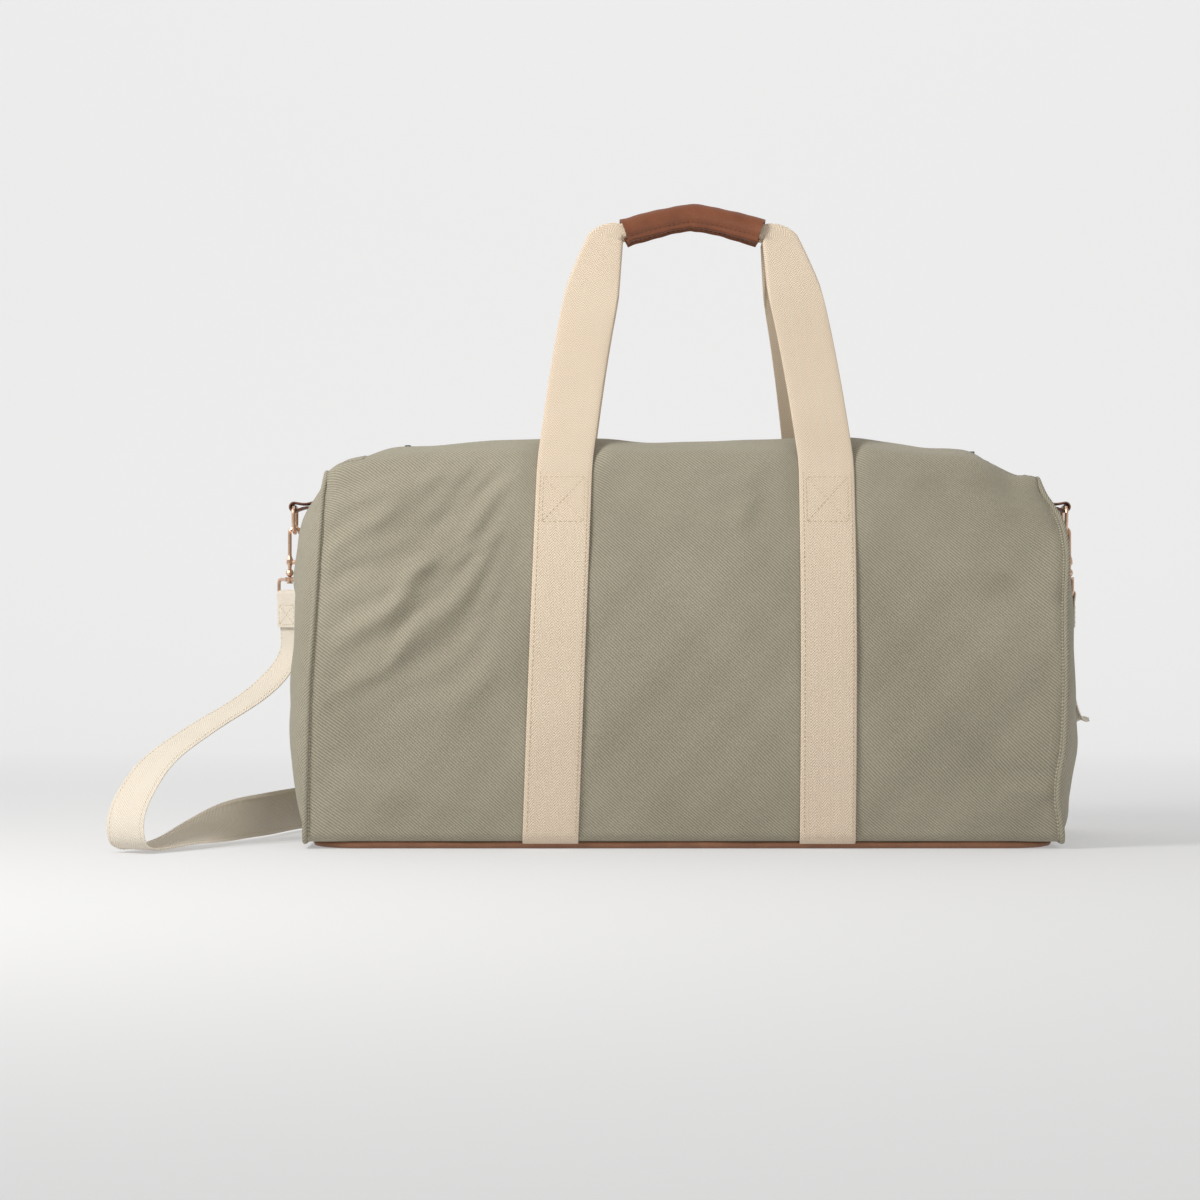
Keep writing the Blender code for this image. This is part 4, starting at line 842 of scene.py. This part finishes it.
def end_relief(end, y, z):
    """Soft dents and creases over an end panel."""
    flip = 1.0 if end < 0 else -1.0
    relief = 0.0016 * np.sin(34 * z + 11 * flip * y + 0.7) + 0.0011 * np.sin(21 * y - 43 * z)
    relief += 0.0009 * np.sin(67 * y + 52 * z + flip) + 0.0006 * np.sin(120 * z - 60 * y)
    relief += ridge(y, z, [(-0.10, 0.215), (-0.05, 0.19), (0.02, 0.185)], 0.009, 0.0020)
    relief += ridge(y, z, [(0.10, 0.10), (0.05, 0.075), (-0.03, 0.07)], 0.010, 0.0018)
    relief += ridge(y, z, [(-0.11, 0.07), (-0.06, 0.045), (0.0, 0.04)], 0.010, -0.0016)
    return relief


def rest_dip(y, z):
    """The hollow that the hook and the strap's end lie in."""
    return REST_DEPTH * np.exp(-(y / 0.027) ** 2) * float(ramp(z, 0.115, 0.150))


def canvas_end(label, end):
    """A domed end panel inside its seam, gathered a little at the rim."""
    rim = end_rim(end)
    n = len(rim)
    verts = []
    for i in range(RINGS):
        s = i / RINGS  # 0 at the rim, 1 at the middle
        for j, p in enumerate(rim):
            y, z = p.y * (1 - s), END_MIDDLE + (p.z - END_MIDDLE) * (1 - s)
            inner = min(1, s * 4)
            seam = float(seam_x(end, min(z, SEAM_TOP)))
            x = p.x * (1 - min(1, s * 5)) + seam * min(1, s * 5)
            bulge = float(smooth_steps(np.array(z), BULGE[end]))
            dome = bulge * (1 - max(0.0, 1 - s * 3.2) ** 2.2) * (1 - 0.25 * (abs(y) / 0.135) ** 2)
            dome -= float(rest_dip(y, z)) * inner
            relief = float(end_relief(end, np.array(y), np.array(z))) * inner * RELIEF[end]
            gather = 0.0007 * sin(j * 2 * pi * 33 / n) * max(0.0, 1 - abs(s - 0.06) / 0.06)
            hug = 0.0012 * (1 - min(1, s * 12))
            verts.append((x + end * (dome + relief + gather - hug), y, z))
    bulge = float(smooth_steps(np.array(END_MIDDLE), BULGE[end]))
    relief = RELIEF[end] * float(end_relief(end, np.array(0.0), np.array(END_MIDDLE)))
    middle = bulge - float(rest_dip(0, END_MIDDLE)) + relief
    verts.append((float(seam_x(end, END_MIDDLE)) + end * middle, 0, END_MIDDLE))
    last = (RINGS - 1) * n
    faces = loop_faces(RINGS, n)
    faces += [(last + j, last + (j + 1) % n, RINGS * n) for j in range(n)]
    made = make_piece(f"{label}_end_canvas", verts, faces, CANVAS,
                      [v[1:] for v in verts])
    face_outward(made, Vector((0, 0, 0.14)))
    thicken(made, CANVAS_THICK)
    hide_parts(f"{label}_end_panel")
    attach(made, "bag")
    return rim


def seam_welt(label, end, rim):
    """The narrow piped seam between an end panel and the rest of the bag."""
    sides = 10
    bm = bmesh.new()
    path = [p + Vector((end * 0.0006, 0, 0)) for p in rim]
    ring_tube(bm, path, 0.0019, sides)
    made = from_bmesh(f"{label}_seam_welt", bm, CANVAS)
    run = lengths(path)
    layer = made.data.uv_layers["cloth"].data
    for poly in made.data.polygons:
        for corner, vertex in zip(poly.loop_indices, poly.vertices):
            layer[corner].uv = ((vertex % sides) * 0.0012, run[vertex // sides])
    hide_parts(f"{label}_end_piping")
    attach(made, "bag")


# ---------------------------------------------------------------- webbing, handles and grips
HINGE = {face: joint_point(f"{label}_handle_swing") for label, face in FACES}
HANDLE_LENGTH = 0.2105
HANDLE_REACH_IN = 0.0082  # how far from the middle a handle's top stands
LEG_HALF_SPREAD = 0.095  # from a handle's middle to the middle of its leg, at the hinge
GRIP_HALF_LENGTH = 0.052
GRIP_RISE = 0.0135  # how much higher a grip's middle is than its ends
FOLDED_WIDTH = 0.0115
LEG_TOP_FOLD = 0.55  # how far the webbing is folded where it leaves the leg
MOST_TURN = 76.0  # degrees that it still has to turn there, to lie along the grip
NARROWS_AT = 0.115  # how far up a leg starts to fold
WEB_WIDTH = 0.040
WEB_THICK = 0.0020
FOLD_RADIUS = 0.0013


def handle_frame(face):
    hinge = HINGE[face]
    reach = abs(hinge.y) - HANDLE_REACH_IN
    rise = (HANDLE_LENGTH**2 - reach**2) ** 0.5
    up = Vector((0, -face * reach, rise)).normalized()
    out = up.cross(EAST)
    return hinge, up, out if out.y * face > 0 else -out


def grip_curve(share):
    return Vector((share * GRIP_HALF_LENGTH, HANDLE_LENGTH - GRIP_RISE * abs(share) ** 1.35))


def grip_direction(share):
    return (grip_curve(share + 0.02) - grip_curve(share - 0.02)).normalized()


def handle_stations():
    """Up one leg and along half the grip: middle, way across, and how far it is folded.

    0 is flat webbing, and 1 is webbing folded in half, as it is inside the grip.
    """
    end = grip_curve(1)
    pivot = Vector((end.x + 0.0012, end.y - FOLDED_WIDTH / 2))
    turning = []
    for share in np.linspace(1, 0, 13):
        turn = radians(MOST_TURN * share)
        fold = 1 - (1 - LEG_TOP_FOLD) * share**1.3
        way = Vector((sin(turn), cos(turn)))
        turning.append((pivot + way * seen_half(fold) + Vector((0, -0.004 * share)), way, fold))
    top = turning[0][0]
    leg = []
    for share in np.linspace(0, 1, 45)[:-1]:
        lean = (LEG_HALF_SPREAD - top.x) * (0.72 * share + 0.28 * share**3)
        up = top.y * share
        fold = max(0.0, (up - NARROWS_AT) / (top.y - NARROWS_AT))
        tilt = radians(90 - (90 - MOST_TURN) * share)
        leg.append((Vector((LEG_HALF_SPREAD - lean, up)), Vector((sin(tilt), cos(tilt))),
                    LEG_TOP_FOLD * fold**1.5))
    arch = []
    for share in np.linspace(1, 0, 12):
        along = grip_direction(share) if share else Vector((1, 0))
        arch.append((grip_curve(share), Vector((-along.y, along.x)), 1.0))
    return leg + turning + arch


FLAT_LEAST = FOLDED_WIDTH / 2 - FOLD_RADIUS - 0.0004
LEAST_BACK = 0.00006


def flat_half(fold):
    """Half the width of webbing that still lies flat when it is folded so far."""
    half = WEB_WIDTH / 2
    return half - max(0.03, fold) * (half - FLAT_LEAST)


def seen_half(fold):
    """Half the width seen from the front."""
    flat = flat_half(fold)
    turn = min((WEB_WIDTH / 2 - flat) / FOLD_RADIUS, pi / 2)
    return flat + FOLD_RADIUS * sin(turn)


def web_section(fold):
    """Half-folded webbing: points across it and out of it, with normals and cloth lengths."""
    half = WEB_WIDTH / 2
    flat = flat_half(fold)
    bent = half - flat
    most = min(bent / FOLD_RADIUS, pi)
    steps = [flat * k / 6 for k in range(7)]
    steps += [flat + FOLD_RADIUS * most * k / 6 for k in range(1, 7)]
    curl_end = flat + FOLD_RADIUS * most
    back = max(half - curl_end, LEAST_BACK)
    steps += [curl_end + back * k / 3 for k in range(1, 4)]
    side = []
    for a in steps:
        if a <= flat:
            x, d, nx, nd = a, 0.0, 0.0, 1.0
        else:
            turn = min((a - flat) / FOLD_RADIUS, most)
            x = flat + FOLD_RADIUS * sin(turn)
            d = -FOLD_RADIUS * (1 - cos(turn))
            nx, nd = sin(turn), cos(turn)
            left = a - curl_end
            if left > 0:  # what lies back over the flat part, past the curl
                share = min(1.0, max(flat - 0.0006, 0) / back) if most >= pi else 1.0
                x += cos(most) * left * share
                d -= sin(most) * left * share
        side.append((x, d, nx, nd, a))
    return [(-x, d, -nx, nd, -a) for x, d, nx, nd, a in reversed(side[1:])] + side


STRAP_FOOT, STRAP_TOP, STRAP_STEPS = 0.0036, 0.272, 63
STRAP_TURN = 0.0115  # below here a sewn strap turns in under the bag


def strap_run(face, side):
    """Up a sewn strap from the base: middle point, way out, for the bag's face."""
    made = []
    for z in np.linspace(STRAP_FOOT, STRAP_TOP, STRAP_STEPS + 1):
        y = float(half_depth(max(z, STRAP_TURN)))
        if z < STRAP_TURN:
            y -= CORNER_RADIUS * (1 - (1 - ((STRAP_TURN - z) / CORNER_RADIUS) ** 2) ** 0.5)
        slope = 0
        if z > STRAP_TURN + 0.001:
            slope = float(half_depth(z + 0.001) - half_depth(z - 0.001)) / 0.002
        out = Vector((0, face, -slope)).normalized()
        x = strap_x(side, z)
        swell = 0.0004 * sin(38 * z + 2 * side) + 0.0003 * sin(95 * z + side)
        made.append((Vector((x, face * y, z)) + out * (WEB_THICK / 2 + 0.0009 + swell), out))
    return made


def face_webbing(label, face):
    """One face's webbing: up one side as a sewn strap, round the handle and down the other."""
    hinge, up, out = handle_frame(face)
    stations = [(p, EAST, normal, 0.0) for p, normal in strap_run(face, 1)]
    half = handle_stations()
    for (m, way, fold), side in [(s, 1) for s in half[1:]] + [(s, -1) for s in half[-2:0:-1]]:
        centre = hinge + EAST * (side * m.x) + up * m.y
        stations.append((centre, EAST * (side * way.x) + up * way.y, out, fold))
    stations += [(p, -EAST, normal, 0.0) for p, normal in reversed(strap_run(face, -1))]
    verts, uvs = [], []
    for (p, across, lift, fold), run in zip(stations, lengths([s[0] for s in stations])):
        section = web_section(fold)
        swell = 0.0006 * sin(24 * run) * (1 if fold > 0 or p.z > 0.29 else 0)
        outer, inner = [], []
        for x, d, nx, nd, s in section:
            thin = min(1.0, (WEB_WIDTH / 2 - abs(s)) / 0.0010)
            t = WEB_THICK / 2 * (0.30 + 0.70 * sin(thin * pi / 2))
            base = p + across * x + lift * (d + swell)
            normal = across * nx + lift * nd
            outer.append((base + normal * t, (s, run)))
            inner.append((base - normal * t, (s, run)))
        for v, uv in outer + inner[::-1]:
            verts.append(v)
            uvs.append(uv)
    rows, cols = len(stations), 2 * len(section)
    faces = capped(loop_faces(rows, cols), rows, cols)
    made = make_piece(f"{label}_webbing", verts, faces, WEBBING, uvs)
    edit_mesh(made, close_normals)
    made.data.set_sharp_from_angle(angle=radians(55))
    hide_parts(f"{label}_handle_webbing", f"{label}_left_strap", f"{label}_right_strap")
    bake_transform(made)
    thread_up_straps(label, face)


def crossed_box(half, low, high):
    """The lines of a sewn box with a cross in it."""
    corners = [(-half, low), (half, low), (half, high), (-half, high), (-half, low), (half, high)]
    return list(zip(corners, corners[1:])) + [((half, low), (-half, high))]


def thread_up_straps(label, face):
    """Edge stitching up the sewn straps and the crossed box at their tops."""
    bm = bmesh.new()
    lift = WEB_THICK / 2 + 0.0001
    for side in (-1, 1):
        run = strap_run(face, side)
        for edge in (-1, 1):
            path = [p + EAST * (edge * (WEB_WIDTH / 2 - 0.0026)) + o * lift for p, o in run[2:]]
            stitch_row(bm, path, [o for _, o in run[2:]], pitch=0.0034, radius=0.00024)
        inset = WEB_WIDTH / 2 - 0.0050

        def on_strap(a, z):
            i = int((z - STRAP_FOOT) / (STRAP_TOP - STRAP_FOOT) * STRAP_STEPS)
            z0, z1 = run[i][0].z, run[i + 1][0].z
            t = (z - z0) / (z1 - z0)
            return (run[i][0].lerp(run[i + 1][0], t) + EAST * (a * inset)
                    + run[i][1] * lift, run[i][1])

        for (a, za), (b, zb) in crossed_box(1, 0.236, 0.2685):
            line = [on_strap(a + (b - a) * t, za + (zb - za) * t) for t in np.linspace(0, 1, 12)]
            stitch_row(bm, [q[0] for q in line], [q[1] for q in line], pitch=0.0034,
                       radius=0.00024)
    made = from_bmesh(f"{label}_strap_stitches", bm, CREAM_THREAD)
    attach(made, "bag")


def squared(value, power):
    """A sine or cosine made fuller by a power, with its sign kept."""
    return abs(value) ** power * (1 if value > 0 else -1)


def grip_section(width, depth, lip):
    """A leather sleeve's outline: across and out, with a stitched lip along its underside."""
    points = []
    for i in range(27):
        t = radians(-152 + 304 * i / 26)
        c, s = cos(t), sin(t)
        points.append((width / 2 * squared(c, 0.86), depth / 2 * squared(s, 0.86)))
    low = -width / 2
    points += [(low - 0.2 * lip, 0.0022), (low - 0.8 * lip, 0.0017), (low - lip, 0.0009),
               (low - lip, -0.0009), (low - 0.8 * lip, -0.0017), (low - 0.2 * lip, -0.0022)]
    return points


def leather_grip(label, face):
    hinge, up, out = handle_frame(face)
    bm = bmesh.new()
    count = 46
    loops, path, ways = [], [], []
    for i in range(count + 1):
        share = -1 + 2 * i / count
        p, along = grip_curve(share), grip_direction(share)
        path.append(hinge + EAST * p.x + up * p.y)
        ways.append(EAST * -along.y + up * along.x)
    stops = [(0, 0.55, 4), (0, 0.80, 0)] + [(i, 1.0, 0) for i in range(count + 1)]
    stops += [(count, 0.80, 0), (count, 0.55, -4)]  # the ends turn in on themselves
    for i, scale, inward in stops:
        share = -1 + 2 * i / count
        swell = 1 + 0.025 * sin(9 * share + 1) + 0.02 * sin(23 * share)
        end = 1 + 0.05 * max(0.0, abs(share) - 0.9) / 0.1
        width, depth = 0.0168 * swell * end * scale, 0.0124 * end * scale
        loops.append([bm.verts.new(path[i + inward] + ways[i] * x + out * y)
                      for x, y in grip_section(width, depth, 0.0026 * scale)])
    bridge(bm, loops)
    made = from_bmesh(f"{label}_leather_grip", bm, TAN, sharp=40)
    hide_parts(f"{label}_grip")
    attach(made, f"{label}_handle")
    threads = bmesh.new()
    for side in (-1, 1):
        line = [p + w * -0.0078 + out * (side * 0.0030) for p, w in zip(path[1:-1], ways[1:-1])]
        stitch_row(threads, line, [(out * side - w * 0.4).normalized() for w in ways[1:-1]],
                   pitch=0.0036, radius=0.00033)
    sewn = from_bmesh(f"{label}_grip_stitches", threads, TAN_THREAD)
    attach(sewn, f"{label}_handle")


# ---------------------------------------------------------------- shoulder strap
STRAP_WIDTH = 0.032
STRAP_THICK = 0.0018
STEM_X = 0.2939
STRAP_START = 0.1629
LEFT_TURN = radians(32)
LEFT_ACROSS = (sin(LEFT_TURN), -cos(LEFT_TURN), 0.0)
ON_EDGE = 0.0168  # the strap's middle where it stands on its edge
RAISED = 0.0198  # and where the adjuster lifts it
SEWN = 120  # edge stitching runs over the first points of the path
ROUTE = (  # the strap's route: a point, and the direction across its width
    ((-STEM_X, 0.0, STRAP_START), LEFT_ACROSS),
    ((-STEM_X, 0.0, STRAP_START - 0.022), LEFT_ACROSS),
    ((-0.3044, -0.013, 0.122), (0.66, -0.75, 0.0)),
    ((-0.322, -0.040, 0.105), (0.76, -0.65, 0.0)),
    ((-0.352, -0.083, 0.085), (0.82, -0.57, 0.0)),
    ((-0.378, -0.125, 0.064), (0.85, -0.53, 0.0)),
    ((-0.391, -0.155, 0.042), (0.87, -0.49, 0.0)),
    ((-0.396, -0.170, 0.024), (0.87, -0.49, 0.0)),
    ((-0.394, -0.172, 0.008), (0.87, -0.49, 0.0)),
    ((-0.386, -0.160, 0.0028), (0.87, -0.49, 0.0)),
    ((-0.366, -0.126, 0.0058), (0.88, -0.45, -0.10)),
    ((-0.348, -0.088, 0.0110), (0.80, -0.33, -0.48)),
    ((-0.331, -0.040, 0.0160), (0.52, -0.16, -0.82)),
    ((-0.313, 0.025, ON_EDGE), (0.24, -0.06, -0.96)),
    ((-0.295, 0.095, ON_EDGE), (0.08, -0.02, -0.997)),
    ((-0.268, 0.156, ON_EDGE), (0.0, 0.0, -1.0)),
    ((-0.215, 0.184, ON_EDGE), (0.0, 0.0, -1.0)),
    ((-0.140, 0.190, ON_EDGE), (0.0, 0.0, -1.0)),
    ((-0.060, 0.190, ON_EDGE), (0.0, 0.0, -1.0)),
    ((0.020, 0.190, ON_EDGE + 0.001), (0.0, 0.0, -1.0)),
    ((0.080, 0.190, RAISED), (0.0, 0.0, -1.0)),
    ((0.120, 0.190, RAISED), (0.0, 0.0, -1.0)),
    ((0.180, 0.188, ON_EDGE + 0.001), (0.0, 0.0, -1.0)),
    ((0.236, 0.178, ON_EDGE), (0.0, 0.0, -1.0)),
    ((0.276, 0.152, 0.022), (-0.04, 0.08, -0.99)),
    ((0.294, 0.112, 0.038), (-0.10, 0.30, -0.95)),
    ((0.299, 0.072, 0.064), (-0.10, 0.56, -0.82)),
    ((0.2985, 0.036, 0.094), (-0.04, 0.80, -0.60)),
    ((0.2955, 0.008, 0.120), (0.0, 0.97, -0.22)),
    ((STEM_X, 0.0, STRAP_START - 0.022), (0.0, 1.0, 0.0)),
    ((STEM_X, 0.0, STRAP_START), (0.0, 1.0, 0.0)),
)


def shoulder_strap():
    points = [Vector(p) for p, _ in ROUTE]
    sides = [Vector(s).normalized() for _, s in ROUTE]
    for i in range(1, len(sides)):
        if sides[i].dot(sides[i - 1]) < 0:
            sides[i] = -sides[i]
    path = smooth_points(points, 8)
    across = smooth_points(sides, 8)
    for _ in range(3):
        path = [path[0]] + [0.25 * a + 0.5 * b + 0.25 * c
                            for a, b, c in zip(path, path[1:], path[2:])] + [path[-1]]
    ways = directions(path)
    flats = [(s - w * s.dot(w)).normalized() for s, w in zip(across, ways)]
    lifts = [w.cross(f) for w, f in zip(ways, flats)]
    lowest = [p.z - abs(f.z) * STRAP_WIDTH / 2 - 0.0009 for p, f in zip(path, flats)]
    path = [p + UP * max(0.0, 0.0004 - low) for p, low in zip(path, lowest)]
    made = band("shoulder_webbing", path, flats, lifts, STRAP_WIDTH, STRAP_THICK, STRAP_CLOTH,
                cols=14)
    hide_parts("shoulder_strap")
    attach(made, "bag")
    threads = bmesh.new()
    for edge in (-1, 1):
        for face in (-1, 1):
            line = [p + f * (edge * (STRAP_WIDTH / 2 - 0.0028)) + l * (face * 0.00095)
                    for p, f, l in zip(path[:SEWN], flats, lifts)]
            stitch_row(threads, line, [l * face for l in lifts[:SEWN]], pitch=0.0036,
                       radius=0.00020)
    sewn = from_bmesh("shoulder_stitches", threads, CREAM_THREAD)
    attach(sewn, "bag")
    return made, path


def strap_end(label, end):
    """The strap's end, turned round the loop's bar and sewn back on itself."""
    along = Vector(LEFT_ACROSS) if end < 0 else NORTH
    square = along.cross(UP)
    x = end * STEM_X
    bar_z, foot = 0.1835, STRAP_START - 0.004
    gap = 0.0019
    path = [Vector((x, 0, foot)) + square * gap + UP * h for h in np.linspace(0, 0.0186, 10)]
    bar = Vector((x, 0, bar_z + 0.0002))
    wrap = 0.0027
    path += [bar + square * (wrap * cos(t)) + UP * (wrap * sin(t))
             for t in np.linspace(0.25, pi - 0.25, 12)]
    path += [Vector((x, 0, foot)) - square * gap + UP * h for h in np.linspace(0.0186, 0, 10)]
    lifts = [w.cross(along).normalized() for w in directions(path)]
    made = band(f"{label}_strap_end_webbing", path, [along] * len(path), lifts, 0.0318, 0.0016,
                STRAP_CLOTH, cols=12)
    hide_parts(f"{label}_strap_end")
    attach(made, f"{label}_loop")
    threads = bmesh.new()
    for side in (-1, 1):
        lift = square * side
        base = Vector((x, 0, foot)) + lift * (gap + 0.00085)
        for (a, za), (b, zb) in crossed_box(0.0118, 0.0022, 0.0168):
            line = [base + along * (a + (b - a) * t) + UP * (za + (zb - za) * t)
                    for t in (0, 0.5, 1)]
            stitch_row(threads, line, [lift] * 3, pitch=0.0030, radius=0.00022)
    sewn = from_bmesh(f"{label}_strap_end_stitches", threads, CREAM_THREAD)
    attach(sewn, f"{label}_loop")
    return [made, sewn]


# ---------------------------------------------------------------- zip, base, lining and tabs
def zip_tape_piece(label, face):
    """Woven zip tape from the teeth to under the canvas edge, following the soft top."""
    rows = []
    count_x, count_y = 150, 9
    xs = np.linspace(-0.2315, 0.2315, count_x)
    for y in np.linspace(0.0024, 0.0190, count_y):
        zip_z = smooth_steps(xs, ZIP_LINE)
        z = np.where(y < SLOT, zip_z, top_surface(xs, np.full_like(xs, y))) - 0.0021
        z = z - 0.0002 * np.sin(210 * xs) * ramp(y, 0.004, 0.009)
        rows.append(np.stack([xs, np.full_like(xs, face * y), z], 1))
    grid = np.array(rows)
    made = make_piece(f"{label}_woven_tape", grid.reshape(-1, 3), grid_faces(count_y, count_x),
                      SLATE, grid[:, :, :2].reshape(-1, 2))
    face_outward(made, Vector((0, 0, 0.1)))
    thicken(made, 0.0008)
    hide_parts(f"{label}_zip_tape")
    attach(made, f"{label}_mouth")


def leather_base():
    """The leather under the bag, turned up a little all round."""
    hx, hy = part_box("base_panel")[1][:2]
    corner = 0.030
    outline = []
    for cx, cy, start in ((1, 1, 0), (-1, 1, 90), (-1, -1, 180), (1, -1, 270)):
        for t in [radians(start + 90 * k / 12) for k in range(13)]:
            outline.append((cx * (hx - corner) + corner * cos(t),
                            cy * (hy - corner) + corner * sin(t)))
    dense = []
    for (ax, ay), (bx, by) in zip(outline, outline[1:] + outline[:1]):
        steps = max(1, int(hypot(bx - ax, by - ay) / 0.012))
        dense += [(ax + (bx - ax) * k / steps, ay + (by - ay) * k / steps) for k in range(steps)]
    bm = bmesh.new()
    rings = []
    for scale_in, z in ((0.0, 0.0052), (-0.0012, 0.0046), (-0.0016, 0.0030), (-0.0004, 0.0010),
                        (0.003, 0.0001), (0.020, 0.0), (0.060, 0.0)):
        rings.append([bm.verts.new((x * (1 - scale_in / hx), y * (1 - scale_in / hy),
                                    z + (0.0002 * sin(60 * x + 40 * y) if z > 0.002 else 0)))
                      for x, y in dense])
    bridge(bm, rings, caps=False)
    bm.faces.new(rings[-1])
    made = from_bmesh("leather_base", bm, DARK_BASE)
    thicken(made, 0.0016)
    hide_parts("base_panel")
    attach(made, "bag")


def lining_piece():
    """The lining: a soft open box of cloth hung inside the bag."""
    verts = []
    n, rings = 160, 46
    for z in np.linspace(0.0095, 0.262, rings):
        d = float(half_depth(z)) - 0.0062
        left, right = float(seam_x(-1, z)) + 0.0055, float(seam_x(1, z)) - 0.0055
        cx, hx = (left + right) / 2, (right - left) / 2
        for k in range(n):
            t = 2 * pi * k / n
            x = hx * squared(cos(t), 0.22)
            y = d * squared(sin(t), 0.22)
            inward = 0.0012 * (1 + sin(40 * z + 9 * t)) + 0.0010 * (1 + sin(7 * t + 19 * z))
            scale = 1 - inward / 0.12
            verts.append((cx + x * scale, y * scale, z))
    faces = loop_faces(rings, n)
    start = len(verts)
    verts += [(x * 0.5, y * 0.5, 0.0090) for x, y, _ in verts[:n]]  # the floor's middle
    faces += [(k, (k + 1) % n, start + (k + 1) % n, start + k) for k in range(n)]
    faces.append(tuple(start + k for k in range(n)))
    uvs = [(p[0] + p[1], p[2]) for p in verts]
    made = make_piece("lining_cloth", verts, faces, LINING_CLOTH, uvs)
    face_outward(made, Vector((0, 0, 0.14)))
    thicken(made, 0.0009)
    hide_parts("lining")
    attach(made, "bag")


def ring_tab(label, end):
    """A leather tab folded round the D-ring's bar and sewn to the bag's end."""
    bar = joint_point(f"{label}_ring_swing")
    wrap = 0.0031  # from the bar's middle to the leather's

    def wall(z):
        swell = float(smooth_steps(np.array(z), BULGE[end])) - REST_DEPTH
        return end * (abs(float(seam_x(end, z))) + max(swell, 0.0) + 0.0016)

    path = [Vector((wall(z), 0, z)) for z in np.linspace(0.2660, bar.z + 0.0058, 5)]
    between = (wall(bar.z) + bar.x) / 2
    path.append(Vector((between, 0, bar.z + 0.0022)))
    for t in np.linspace(100, -100, 13):
        a = radians(t)
        path.append(bar + Vector((end * wrap * cos(a), 0, wrap * sin(a))))
    path.append(Vector((between, 0, bar.z - 0.0004)))
    path += [Vector((wall(z), 0, z)) for z in (bar.z - 0.0026, bar.z - 0.0110)]
    path = smooth_points(path, 3)
    lifts = [w.cross(NORTH).normalized() for w in directions(path)]
    made = band(f"{label}_leather_tab", path, [NORTH] * len(path), lifts, 0.0215, 0.0019, DARK,
                cols=8)
    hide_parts(f"{label}_ring_tab")
    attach(made, "bag")


# ---------------------------------------------------------------- the whole bag
DARK_BASE = leather("base_leather", (0.33, 0.15, 0.075), (0.15, 0.06, 0.03), 0.5)

strap, strap_path = shoulder_strap()
end_pieces = [p for label, end in ENDS for p in strap_end(label, end)]

for label, face in FACES:
    canvas_side(label, face)
    face_webbing(label, face)
    leather_grip(label, face)
    zip_tape_piece(label, face)
for label, end in ENDS:
    canvas_gusset(label, end)
    seam_welt(label, end, canvas_end(label, end))
    ring_tab(label, end)
leather_base()
lining_piece()

SURFACES = {"strap_adjuster": BRASS, "zip_slider": GUNMETAL, "zip_pull": GUNMETAL, "base_board": DARK}
for label, _ in ENDS:
    for kind in ("d_ring", "snap_hook", "hook_gate", "strap_loop"):
        SURFACES[f"{label}_{kind}"] = BRASS
for label, _ in FACES:
    for kind in ("zip_teeth", "left_zip_stop", "right_zip_stop"):
        SURFACES[f"{label}_{kind}"] = GUNMETAL
for name, surface in SURFACES.items():
    node = bpy.data.objects[name]
    node.data.materials.clear()
    node.data.materials.append(surface)
